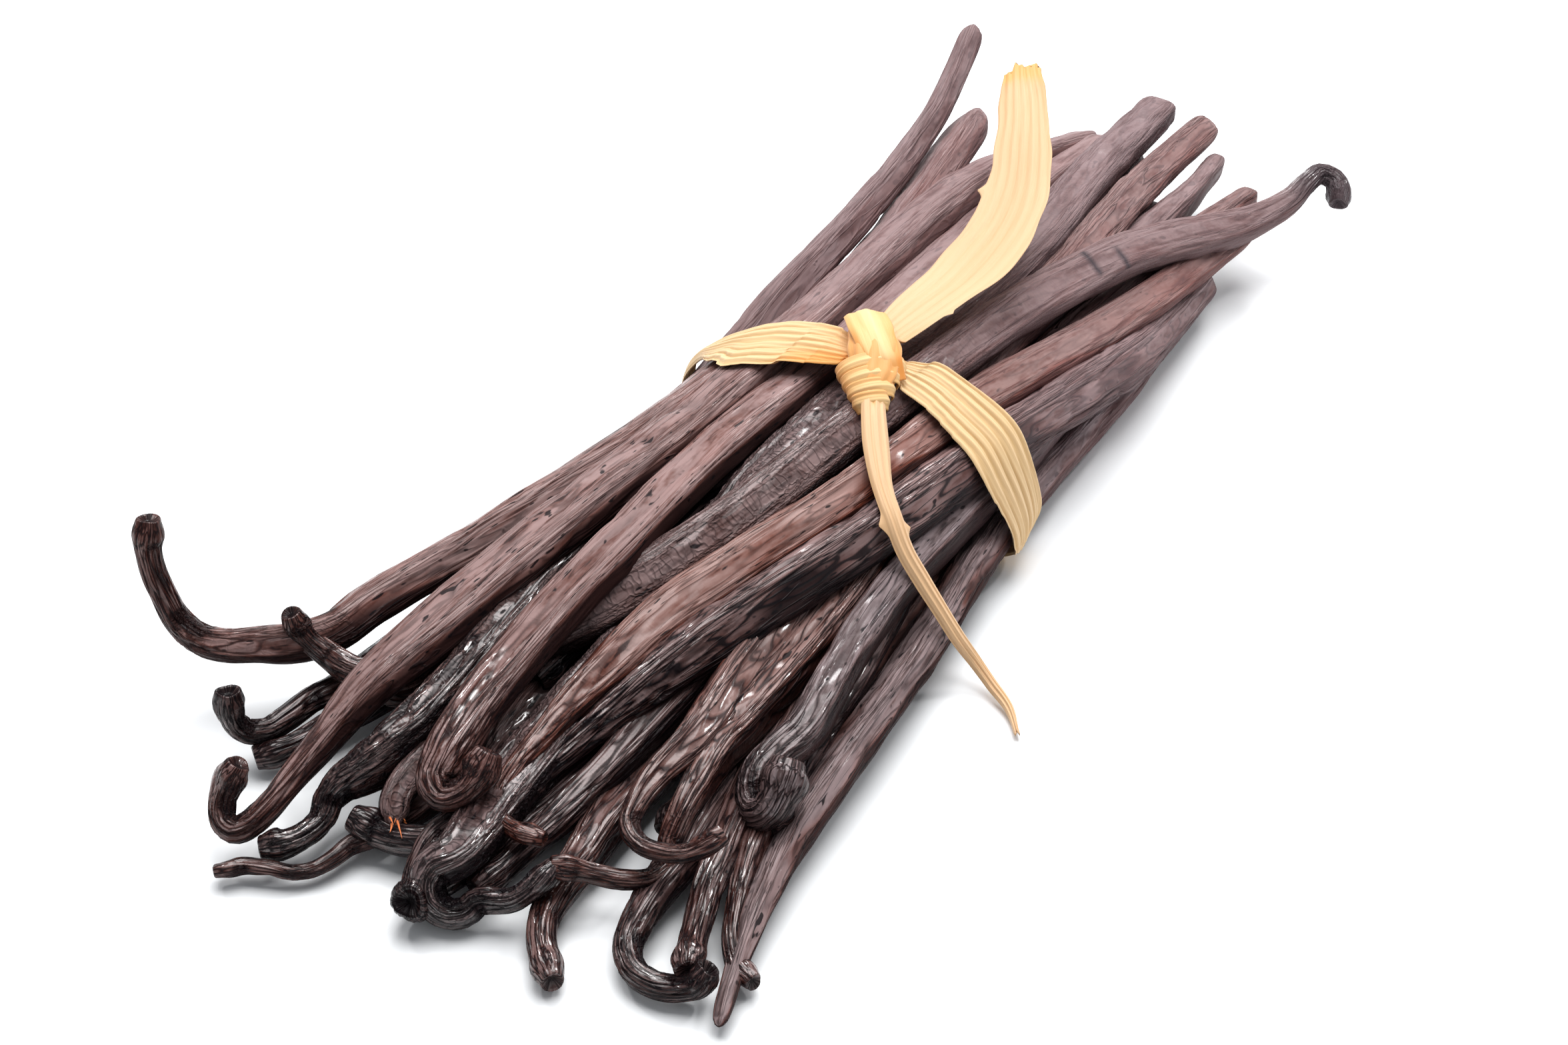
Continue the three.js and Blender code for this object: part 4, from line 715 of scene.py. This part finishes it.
def pod_piece(k):
    """Pod k: rings of a flattened section carried along its line, drawn in along its creases."""
    pod, rng = PODS[k], np.random.default_rng(FIRST_SEED + k)
    hidden = k >= len(PODS) - len(INNER_PODS) and not pod["hook"]
    sides, rings_along = HIDDEN_MESH if hidden else SHOWN_MESH
    line = curve_through(route_of(k))
    length = length_along(line)[-1]
    even = np.linspace(0, length, EVEN_STEPS)
    (near_more, near_over), (far_more, far_over) = CLOSER_RINGS
    dense = (1 + near_more * np.exp(-(even / near_over) ** 2)
             + far_more * np.exp(-((length - even) / far_over) ** 2))
    share = np.concatenate([[0], np.cumsum((dense[1:] + dense[:-1]) / 2)])
    distances = np.interp(np.linspace(0, share[-1], rings_along), share, even)
    middle, side, out, along_line = stations(line, distances, (0, *facings[k]))
    stem_far = pod["stem"] == "far"
    from_stem = length - distances if stem_far else distances
    from_tip = length - from_stem
    half = half_sizes(pod, from_stem, from_tip)

    # the bare form: a flattened section round the pod at each ring, rounder at the neck
    a = np.linspace(0, 2 * math.pi, sides, endpoint=False)[None, :]
    s = distances[:, None]
    near_stem = (1 - ease((from_stem - WET_END) / pod["fade"]))[:, None]
    near_end = (1 - 0.85 * ease((middle[:, 0] - DRY_FROM) / DRY_OVER))[:, None]
    round_neck = (1 - ease((from_stem - 4) / 22))[:, None]
    cos, sin = np.cos(a), np.sin(a)
    x = half[:, :1] * np.sign(cos) * np.abs(cos) ** (FLAT_SIDES + (ROUND_NECK - FLAT_SIDES) * round_neck)
    z = half[:, 1:] * np.sign(sin) * np.abs(sin) ** (FLAT_FACES + (ROUND_NECK - FLAT_FACES) * round_neck)

    # the skin: broad swells, deep and fine creases, and a crumple across them where the pod dried in folds
    # or bends sharply; it calms down towards both ends, apart from the lumpy knob
    ridges, crinkle = pod["ridges"], pod["crinkle"] * near_end
    bends = np.gradient(along_line, distances, axis=0)
    sharpness = np.linalg.norm(bends, axis=1)[:, None]
    curled = ease((sharpness - 0.03) / 0.16)
    bent = np.maximum(curled, 0.3 * near_stem)
    room = np.clip(np.minimum(half[:, :1], half[:, 1:]) / 2.2, 0.4, 1)
    deep = creases(rng, a, s, 2, 6, 16) * (0.4 + 0.6 * ease(0.5 + waves(rng, a, s, 2, 20, 8)))
    fine = creases(rng, a, s, 8, 16, 12)
    crumple = creases(rng, a, s, 4, 10, 2.4) * np.maximum(0.12 + 0.88 * crinkle, bent)
    swells = 0.07 * waves(rng, a, s, 2, 24, 8) + 0.05 * waves(rng, a, s, 5, 7, 8)
    push = (swells - deep * (0.12 + 0.42 * ridges + 0.25 * near_stem)
            - fine * (0.06 + 0.2 * ridges + 0.1 * near_stem)
            - crumple * (0.08 + 0.24 * np.maximum(crinkle, 0.8 * bent)) + 0.12) * room
    push = push * (0.2 + 0.8 * ease(np.minimum(from_stem, from_tip) / 3.5))[:, None]
    push = push + 0.14 * waves(rng, a, s, 3, 4, 8, 1) * np.exp(-(from_stem / 3) ** 2)[:, None]
    normal = unit(np.stack(np.broadcast_arrays(cos / half[:, :1], sin / half[:, 1:]), -1))
    x, z = x + push * normal[..., 0], z + push * normal[..., 1]
    rings = middle[:, None] + side[:, None] * x[..., None] + out[:, None] * z[..., None]

    # both ends close over a few rings: a rim round the dimple of the stem's scar, and a dome on the tip
    ends, poles = [], []
    for at, way in ((0, -1), (-1, 1)):
        is_stem = (at == 0) != stem_far
        bulge = (RIM - pod["hollow"] * SCAR if is_stem else DOME) * half[at, 1]
        ends.append(middle[at] + (rings[at] - middle[at])[None] * CLOSING[:, None, None]
                    + along_line[at] * way * bulge[:, None, None])
        poles.append(middle[at] + along_line[at] * way * bulge[-1])
    full = np.concatenate([ends[0][1:][::-1], rings, ends[1][1:]])
    full[..., 2] = np.maximum(full[..., 2], 0.0)

    # what the material reads at each point: where it lies on the skin, how much it faces into the bundle or
    # into a bend, which it paints as shade, its creases, which it darkens with painted shade, and the open
    # cracks and scar
    skin = np.stack(np.broadcast_arrays(cos * half[:, :1], sin * half[:, 1:], s), -1)
    skin = skin + rng.uniform(-SKIN_SPREAD, SKIN_SPREAD, 3)
    outward = side[:, None] * normal[..., :1] + out[:, None] * normal[..., 1:]
    # inward is where the material paints shade: on the sides that face down or into the bundle, less on the
    # hooks that stand out of it, and on the insides of sharp bends
    inward = 1 - ease((outward[..., 2] - 0.12 + 0.16 * waves(rng, a, s, 3, 14, 8)) / 0.55)
    inward = inward * (1 - 0.6 * ease((24 - from_stem) / 10))[:, None]
    into_bend = (outward * (bends / (sharpness + 1e-9))[:, None]).sum(-1)
    inward = np.maximum(inward, ease((into_bend - 0.15) / 0.6) * curled)
    cut = np.zeros_like(deep)
    for along, low, high in pod["cracks"]:
        over = np.abs(np.degrees(a[0]) - (low + high) / 2) * 2 / (high - low)
        cut[np.argmin(np.abs(middle[:, 0] - along))] = ease((1.3 - over) / 0.6)
    # crease is where the material darkens the creases with painted shade
    values = {"skin": skin, "crease": deep ** 1.5 * (0.35 + 0.5 * ridges) + 0.2 * fine, "inward": inward,
              "stemward": near_stem + 0 * a, "near": near_end + 0 * a, "cut": cut,
              "crinkle": np.maximum(crinkle, 0.7 * bent) + 0 * a}
    count = len(CLOSING) - 1
    data = {key: np.concatenate([np.repeat(v[:1], count, 0), v, np.repeat(v[-1:], count, 0)])
            for key, v in values.items()}
    scar = 1.1 * (1 - CLOSING[1:])[:, None]
    if stem_far:
        data["cut"][-count:] += scar
    else:
        data["cut"][:count] += scar[::-1]
    return closed_piece(f"pod_{k + 1:02d}", full, poles, data)


def cured_skin():
    """The wrinkled skin of a cured pod, from a point's place on it in millimetres: lengthwise streaks,
    cracks and pits, creases darkened with painted shade, a painted highlight on the crests, rust patches and
    a painted red-brown glow on the edges, and how rough and how high each point is."""
    tree, given = new_group(
        "cured_skin", "Skin",
        ("Crease", "Inward", "Stemward", "Near", "Crinkle", "Cut", "Red", "Gloss", "Dark", "Wrinkled"),
        ("Deep", "Shade", "Body", "Bloom", "Rust_and_glow", "Stem", "Dust"), ("Color", "Roughness", "Coat", "Height"))
    skin, near, stemward, inward = (given[key] for key in ("Skin", "Near", "Stemward", "Inward"))
    hair = noise(skin, (2.1, 2.1, 0.11), 3.0)
    grain = noise(skin, (3.4, 3.4, 0.9))
    lines = noise(skin, (1.3, 1.3, 0.05), rough=0.5)
    broad = noise(skin, (0.45, 0.45, 0.08), 3.0)
    patch = noise(skin, (0.2, 0.2, 0.035))
    cells = {"Vector": stretched(skin, (1.0, 1.0, 0.3)), "Scale": 1.0}
    pit = ramp(skin.node("ShaderNodeTexVoronoi", cells, "Distance"), (0.05, 1), (0.12, 0))

    # noise has a sharp valley wherever it crosses its middle value: long ones are wrinkles, short ones a
    # crumple, and slow ones, on the stretches where the broad noise is low, are cracks
    wrinkle = abs(noise(skin, (2.1, 2.1, 0.12), 1.0, 0.5) - 0.5)
    crumple = abs(noise(skin, (1.9, 1.9, 1.1), 1.0, 0.5) - 0.5)
    crack = ramp(abs(lines - 0.5), (0.004, 0.9), (0.022, 0)) * ramp(broad, (0.38, 1), (0.5, 0))
    wrinkled = most(given["Wrinkled"], 0.9 * stemward)
    # painted shade in the valleys of the wrinkles and of the crumple
    valley = most(ramp(wrinkle, (0.018, 1), (0.055, 0)) * wrinkled,
                  ramp(crumple, (0.01, 0.7), (0.05, 0)) * given["Crinkle"])
    top = ramp(wrinkle, (0.05, 0), (0.1, 1))
    # painted highlight: a pale line in the bloom colour along the wrinkles' crests on the near half, which
    # the stem colour and the dark pods keep
    crest_highlight = top * ramp(hair, (0.41, 0), (0.53, 1)) * near

    # the colour: a painted highlight on the crests in the bloom colour, rust in patches and a painted glow
    # of light through the skin where it turns from the top, then the darker stem, painted shade on the sides
    # that face down or into the bundle, the near-black of dark pods with painted shade on the buried ones,
    # painted shade in the creases and valleys with the real pits, cracks and dashes, and last the dust on
    # the far half
    light = hair + 0.12 * broad + 0.25 * grain
    colour = blended(ramp(light, (0.54, 0), (0.76, 1)), given["Body"], given["Bloom"])
    colour = blended(0.8 * crest_highlight, colour, given["Bloom"])
    # red-brown in patches, which is the skin's own colour, and a painted glow of light through the skin
    # wherever it turns away from the top
    red = most(ramp(patch, (0.52, 0), (0.75, 0.6)), 0.9 * ramp(inward, (0.02, 0), (0.35, 1)))
    colour = blended(red * given["Red"], colour, given["Rust_and_glow"])
    colour = blended(stemward * ramp(crest_highlight, (0, 1), (0.9, 0.3)), colour, given["Stem"])
    # painted shade on the sides that face down or into the bundle and inside bends, lighter on the far half
    inner = ramp(inward, (0.15, 0), (0.68, 1)) * (0.6 * near + 0.38)
    colour = blended(inner, colour, given["Shade"])
    # partly the near-black that some pods have near the stem and on the near half, and partly painted shade
    # on the low and buried pods
    dark_skin_and_shade = most(given["Dark"] ** 2.0 * near, 0.9 * given["Dark"] * stemward)
    colour = blended(dark_skin_and_shade * ramp(crest_highlight, (0, 1), (0.9, 0.6)), colour, given["Deep"])
    dash = most(ramp(noise(skin, (3.2, 3.2, 0.38), 1.0), (0.3, 0.95), (0.35, 0)),
                ramp(hair, (0.32, 0.8), (0.39, 0)))
    # painted shade in the creases and valleys, together with the real pits, cracks and dashes
    marks_and_crease_shade = most(0.8 * pit, 0.95 * valley, crack, dash, given["Crease"])
    marks_and_crease_shade = most(marks_and_crease_shade * (0.66 * near + 0.32), given["Cut"])
    colour = blended(marks_and_crease_shade, colour, given["Deep"])
    colour = blended(0.32 * (1 - near), colour, given["Dust"])

    # the oily gloss of the near half, on the tops and the crumpled skin, but none where painted shade or
    # dark marks lie
    oily = near ** 3.0 * given["Gloss"]
    rough = 0.3 * broad + 0.4 - (0.12 * stemward + 0.16 * oily)
    coat = (0.5 * stemward + (0.8 * oily + 0.05)) * (0.8 * top + 0.2) + 0.5 * (given["Crinkle"] * oily)
    height = (0.6 * hair - 0.8 * crack + lines - 0.5 * pit
              + 0.8 * (ramp(wrinkle, (0, 0), (0.12, 1)) * wrinkled)
              + 1.5 * (ramp(crumple, (0, 0), (0.12, 1)) * given["Crinkle"]))
    place_node(tree, "NodeGroupOutput", {
        "Color": colour, "Roughness": most(rough, 0.2), "Coat": coat * (1 - most(inner, marks_and_crease_shade)),
        "Height": height})
    return tree


CURED_SKIN = cured_skin()
DEEP, DUST = srgb(14, 10, 14), srgb(126, 112, 118)
SHADE, SHADE_RED = srgb(27, 19, 22), srgb(60, 33, 28)
BODY, BODY_RED, BODY_GREY = srgb(104, 77, 74), srgb(116, 74, 64), srgb(92, 80, 81)
BLOOM, BLOOM_RED, BLOOM_GREY = srgb(148, 126, 126), srgb(154, 122, 115), srgb(136, 123, 125)
RUST_AND_EDGE_GLOW, STEM, STEM_RED = srgb(128, 56, 30), srgb(42, 23, 21), srgb(92, 46, 35)


def mixed(a, b, share):
    return tuple(float(v) for v in np.array(a) + (np.array(b) - np.array(a)) * share)


def pod_material(k):
    """One pod's skin: oily and satin, from a purple-brown that bears a greyish bloom to a red-brown."""
    pod = PODS[k]
    red, grey, gloss = pod["red"], pod["grey"], pod["gloss"]
    body = mixed(mixed(BODY, BODY_RED, red), BODY_GREY, grey)
    bloom = mixed(mixed(BLOOM, BLOOM_RED, red), BLOOM_GREY, grey)
    given = {"Red": red, "Gloss": gloss, "Dark": pod["dark"], "Wrinkled": pod["ridges"],
             "Deep": DEEP, "Dust": DUST, "Rust_and_glow": RUST_AND_EDGE_GLOW, "Shade": mixed(SHADE, SHADE_RED, red), "Body": body,
             "Bloom": mixed(bloom, body, 0.3 * gloss),
             "Stem": mixed(mixed(STEM, STEM_RED, red), BODY_GREY, 0.5 * grey)}
    return fed_material(f"skin_{k + 1:02d}", CURED_SKIN, given, 0.8, 0.2,
                        {"Specular IOR Level": 0.1, "Coat Roughness": 0.12})


for k in range(len(PODS)):
    finish(pod_piece(k), "pods", pod_material(k))


# ---- the torn stem -------------------------------------------------------------------------------
# The fifth pod was pulled off its stalk instead of being cut, and a tuft of the stalk's dry orange fibres
# sticks out of its stem end.
TORN_POD = 5
FIBRES = 12
FIBRE_SEED = 700
FIBRE_HALF = 0.17
FIBRE_LENGTHS = 1.2, 2.6
FIBRE_MESH = 8  # points round a fibre, and rings along it
fibre_orange = raffia("stalk_fibre", srgb(232, 132, 66), srgb(186, 84, 38), srgb(214, 98, 44))


def stalk_fibre(k, root, away):
    """One fibre: a thin cone that bends a little, from the stem end outwards."""
    rng = np.random.default_rng(FIBRE_SEED + k)
    heading = unit(away + 0.75 * unit(rng.normal(size=3)))
    droop = unit(rng.normal(size=3))
    distances = np.linspace(0, rng.uniform(*FIBRE_LENGTHS), FIBRE_MESH)[:, None]
    middle = root + 0.5 * rng.normal(size=3) + heading * distances + 0.12 * droop * distances ** 2
    side = unit(np.cross(heading, [0.3, 0.2, 1.0]))
    lift = np.cross(heading, side)
    a = np.linspace(0, 2 * math.pi, FIBRE_MESH, endpoint=False)[None, :, None]
    half = (FIBRE_HALF * (1 - 0.85 * distances / distances[-1]))[:, None]
    rings = middle[:, None] + half * (side * np.cos(a) + lift * np.sin(a))
    flat = np.zeros(rings.shape[:2])
    data = {"fibre": rings, "fold": flat, "stain": flat + 0.4}
    return closed_piece(f"stalk_fibre_{k + 1}", rings, [middle[0], middle[-1]], data)


torn_end, next_point = route_of(TORN_POD - 1)[:2]
for k in range(FIBRES):
    finish(stalk_fibre(k, torn_end, unit(torn_end - next_point)), "pods", fibre_orange)


# ---- the band round the waist --------------------------------------------------------------------
# The strip goes once round the pods, flat and pleated lengthwise over both shoulders, folded narrow at the
# left edge and where it goes into the knot. Drawn tight, it bridges the hollows between the pods.
# At stations in degrees from the left over the top: how far along its middle lies, and its width.
BAND = np.array([
    (0, -0.5, 3), (20, -1.2, 2.8), (36, -3.2, 7.5), (48, -4, 11.4), (66, -3.3, 11.4), (80, -1.8, 9),
    (92, -1.6, 4.8), (104, -1.2, 3.8), (120, -0.4, 8.2), (140, -1.2, 9.8), (165, -1.4, 10.3),
    (175, -0.5, 8.4), (185, -1.6, 5), (210, -0.4, 4), (270, 0, 4.6), (330, -0.2, 3.4), (360, -0.5, 3)])
FULL_WIDTH = 9.2  # from here up it lies flat, and below it rolls up
BAND_GAP, BAND_THICK = 0.3, 0.7  # from the pods, and with the room for its pleats
BAND_FLOOR = 0.02  # how high it lies under the waist
BAND_STATIONS = 360
WAIST_MIDDLE = 11.0  # how high the waist's middle lies
EASE_OVER = np.radians(np.arange(-20, 21, 4.0))  # its bends are eased over these directions,
EASE_WIDTH = math.radians(8)  # with weights that fall off at this width
INTO_KNOT, FOLDED_AT = 96, 84  # degrees: where it is stained most


def waist_reach(angles, slices):
    """How far from the waist's middle the pods reach in directions across the bundle, at some slices."""
    n = np.stack([np.cos(angles), np.sin(angles)], -1)[..., None, None, :]
    at, half = laid[:, slices], laid_half[:, slices]
    reach = ((at - [0, WAIST_MIDDLE]) * n).sum(-1) + reach_of(half, facings[:, None], n)
    return np.where(there[:, slices], reach, -1e9).max((-1, -2))


def eased_reach(angles, slices):
    """The same, averaged with the directions beside it, because a stiff strip bends in wide arcs."""
    weight = np.exp(-(EASE_OVER / EASE_WIDTH) ** 2 / 2)
    return (waist_reach(angles[:, None] + EASE_OVER, slices) * weight).sum(1) / weight.sum()


def waist_loop(turn, gap, slices):
    """The tight loop round the waist at a gap, and its outward direction: where it faces angle a it lies as
    far out as the waist reaches that way, and as far along itself as that reach grows with a."""
    a = np.arctan2(np.sin(turn) / WAIST_HALF[1], np.cos(turn) / WAIST_HALF[0])
    step = 0.02
    reach = eased_reach(a, slices)
    slope = (eased_reach(a + step, slices) - eased_reach(a - step, slices)) / (2 * step)
    out = np.column_stack([0 * a, np.cos(a), np.sin(a)])
    at = out * (reach + gap)[:, None] + np.column_stack([0 * a, -np.sin(a), np.cos(a)]) * slope[:, None]
    return at + [0, 0, WAIST_MIDDLE], out


def band_piece():
    """A closed ring between two loops, one over the slices beyond the tie and one over those before it: at
    each station a flat loop over the strip's outer face and back under its inner one."""
    turn = np.linspace(0, 2 * math.pi, BAND_STATIONS, endpoint=False)
    degrees = np.degrees(turn)
    k = np.searchsorted(BAND[:, 0], degrees, side="right") - 1
    share = ease((degrees - BAND[k, 0]) / (BAND[k + 1, 0] - BAND[k, 0]))[:, None]
    middle_x, width = np.hsplit(BAND[k, 1:] + (BAND[k + 1, 1:] - BAND[k, 1:]) * share, 2)
    half, flat = width / 2, np.clip(width / FULL_WIDTH, 0, 1)
    gap = BAND_GAP + BAND_THICK / 2
    near, out = waist_loop(turn, gap, (SLICES >= -12) & (SLICES <= 0))
    far, _ = waist_loop(turn, gap, np.abs(SLICES) <= 6)
    reach = length_along(far)[:, None]
    v, face, skin = flat_section(STRIP_ACROSS * 2)
    lift = pleats(v, reach, 6, 0.2) * (0.3 + 0.7 * flat) + 0.5 * (1 - v * v) * (1 - flat)
    share_far = ((v + 1) / 2)[..., None]
    rings = (near[:, None] * (1 - share_far) + far[:, None] * share_far
             + out[:, None] * (lift + skin)[..., None])
    rings[..., 0] = middle_x + v * half + 0.16 * np.sin(reach / 2.1 + 2 * v) * np.abs(v) ** 6
    rings[..., 2] = np.maximum(rings[..., 2], BAND_FLOOR + 0.1 * (face < 0))
    into_knot = np.exp(-((degrees - INTO_KNOT) / 9) ** 2)[:, None]
    folded = np.exp(-((degrees - FOLDED_AT) / 14) ** 2)[:, None] * (0.35 + 0.5 * ease(-v * 1.4))
    stain = 0.1 + 0.5 * into_knot + folded
    fibre = np.stack([v * half, face * np.ones_like(stain), reach + 0 * v], -1)
    return loop_piece("band", rings, {"fibre": fibre, "fold": lift, "stain": stain})


finish(band_piece(), "raffia_tie", strip_raffia)


# ---- the knot ------------------------------------------------------------------------------------
# Where both ends of the strip cross, one is folded over the other in a smooth saddle, and is then wound in
# close turns that narrow to a collar, where the narrow tail comes out.
BULB = [(4.2, 1.3, 24.3), (1.2, -1.4, 24.8), (-2.6, -4.4, 24.6), (-5.8, -6.2, 23.7), (-8.6, -7.7, 22.9)]
BULB_HALF = [2, 2.7, 3.3, 2.8, 1.7]
BULB_FLAT = 0.55
BULB_MESH = 64, 60  # points round it, and rings along it
SADDLE = [(5.8, 2.4, 23.4), (4.6, 1.5, 25.3), (1.8, -0.9, 26.4), (-1.2, -3.6, 26.6), (-3.6, -6.2, 25.7),
          (-4.9, -8.2, 23.4)]
SADDLE_WIDTHS = [4.4, 5.4, 5.6, 5.2, 4.6, 4]
SADDLE_MIDDLE = np.array([-0.5, -2.8, 23.4])
COLLAR_FROM, COLLAR_TO = np.array([-4.2, -4.9, 23.4]), np.array([-8.9, -7.7, 22.5])
COLLAR_HALF, COLLAR_HIGH = (4.1, 2.1), (2.3, 1.3)  # at its two ends
COLLAR_TURNS = 4
TURN_WIDTH = 2.5
TURN_OVER = 115  # degrees to each side of its top
KNOT_STATIONS = 90


def bulb():
    """The bundled strip inside the knot: oval rings along its line, drawn to a point at both ends."""
    line = curve_through(BULB)
    length = length_along(line)[-1]
    sides, rings_along = BULB_MESH
    distances = np.linspace(0, length, rings_along)
    middle, side, out, _ = stations(line, distances, (0, 0, 1))
    share = distances / length
    half = (stepped(BULB_HALF, share) * np.sqrt(np.clip(1 - (2 * share - 1) ** 6, 0.02, 1)))[:, None]
    a = np.linspace(0, 2 * math.pi, sides, endpoint=False)[None, :]
    lift = 0.1 * np.cos(9 * a + distances[:, None] / 2)
    rings = (middle[:, None] + side[:, None] * ((half + lift) * np.cos(a))[..., None]
             + out[:, None] * ((half * BULB_FLAT + lift) * np.sin(a))[..., None])
    fibre = np.stack(np.broadcast_arrays(half * np.cos(a), half * np.sin(a), distances[:, None]), -1)
    data = {"fibre": fibre, "fold": lift - 0.1, "stain": np.full_like(lift, 0.7)}
    return closed_piece("knot", rings, [rings[0].mean(0), rings[-1].mean(0)], data)


def knot_strip(name, points, away_from, widths, fold, stain):
    """A strip of the knot through points, whose face looks away from a place inside the knot."""
    line = curve_through(points)
    reach = length_along(line)
    distances = np.linspace(0, reach[-1], KNOT_STATIONS)
    middle = points_at(distances, reach, line)
    along = unit(np.gradient(middle, axis=0))
    away = middle - away_from
    out = unit(away - along * (away * along).sum(1, keepdims=True))
    half = stepped(widths, distances / reach[-1]) / 2
    return strip(name, middle, np.cross(along, out), out, half, fold, lambda v: 0 * v,
                 lambda v, s: stain(v, s / reach[-1]))


def collar_turn(k):
    """One turn of the collar: an arch over the bulb, a little aslant, that overlaps the turn below it."""
    share = k / (COLLAR_TURNS - 1)
    at = COLLAR_FROM + (COLLAR_TO - COLLAR_FROM) * share
    ahead = unit(COLLAR_TO - COLLAR_FROM)
    across = unit(np.cross(ahead, [0, 0, 1.0]))
    wide = COLLAR_HALF[0] + (COLLAR_HALF[1] - COLLAR_HALF[0]) * share
    high = COLLAR_HIGH[0] + (COLLAR_HIGH[1] - COLLAR_HIGH[0]) * share
    turn = np.radians(np.linspace(-TURN_OVER, TURN_OVER, 9))[:, None]
    points = (at + across * wide * np.sin(turn) + np.cross(across, ahead) * high * np.cos(turn)
              + ahead * 0.9 * np.sin(turn + 0.3 * k))
    return knot_strip(
        f"turn_{k + 1}", points, at, [TURN_WIDTH] * 3,
        lambda v, s: pleats(v, s, 2, 0.07, 5) - 0.3 * v * v + 0.16 * v,
        lambda v, t: 0.24 + 0.55 * np.maximum(ease((v + 0.4) / 1.4) * 0.8, ease((t - 0.62) / 0.3)))


def saddle():
    """The smooth fold over the top of the knot, stained along its edges and at its lower end."""
    return knot_strip(
        "saddle", SADDLE, SADDLE_MIDDLE, SADDLE_WIDTHS,
        lambda v, s: pleats(v, s, 2, 0.1, 6) - 0.7 * v * v,
        lambda v, t: (0.12 + 0.6 * ease((np.abs(v) - 0.55) / 0.4) * ease((t - 0.3) / 0.3)
                      + 0.7 * ease((t - 0.72) / 0.2)))


knot_raffia = raffia("raffia_knot", srgb(230, 195, 139), srgb(218, 166, 96), srgb(220, 142, 64))
for piece in (bulb(), *map(collar_turn, range(COLLAR_TURNS)), saddle()):
    finish(piece, "raffia_tie", knot_raffia)


# ---- floor ---------------------------------------------------------------------------------------
# A plain white table top, far wider than the bundle.
FLOOR_HALF = 3.0
corners = [(x * FLOOR_HALF, y * FLOOR_HALF, 0) for x, y in ((-1, -1), (1, -1), (1, 1), (-1, 1))]
floor_mesh = bpy.data.meshes.new("floor")
floor_mesh.from_pydata(corners, [], [(0, 1, 2, 3)])
floor = bpy.data.objects.new("floor", floor_mesh)
bpy.context.scene.collection.objects.link(floor)
floor_white = bpy.data.materials.new("floor_white")
floor_white.use_nodes = True
floor_white.node_tree.nodes["Principled BSDF"].inputs["Base Color"].default_value = (0.88, 0.89, 0.9, 1)
floor_white.node_tree.nodes["Principled BSDF"].inputs["Roughness"].default_value = 0.7
floor_mesh.materials.append(floor_white)


# ---- light ---------------------------------------------------------------------------------------
# A dim white room under a wide ceiling panel, a soft panel low behind the bundle that lays a sheen along the
# pods' tops, and two small bright ones for the sparkle on their oily folds.
world = bpy.data.worlds.new("room")
bpy.context.scene.world = world
world.use_nodes = True
world.node_tree.nodes["Background"].inputs["Color"].default_value = (0.93, 0.96, 1.0, 1)
world.node_tree.nodes["Background"].inputs["Strength"].default_value = 0.38


def panel(name, at, size, watts):
    """A square soft light at a place in metres, which faces the tie."""
    lamp = bpy.data.lights.new(name, "AREA")
    lamp.shape = "SQUARE"
    lamp.size = size
    lamp.energy = watts
    away = unit(np.array(at))
    side = unit(np.cross([0, 0, 1.0], away))
    stand(bpy.data.objects.new(name, lamp), side, np.cross(away, side), away, at)


panel("ceiling", (0.3, 0.1, 1.2), 1.0, 20.0)
panel("sheen", (0.76, 0.36, 0.62), 0.24, 4.4)
panel("sparkle_left", (0.15, 0.72, 0.75), 0.08, 1.9)
panel("sparkle_right", (0.7, -0.4, 0.75), 0.08, 1.9)
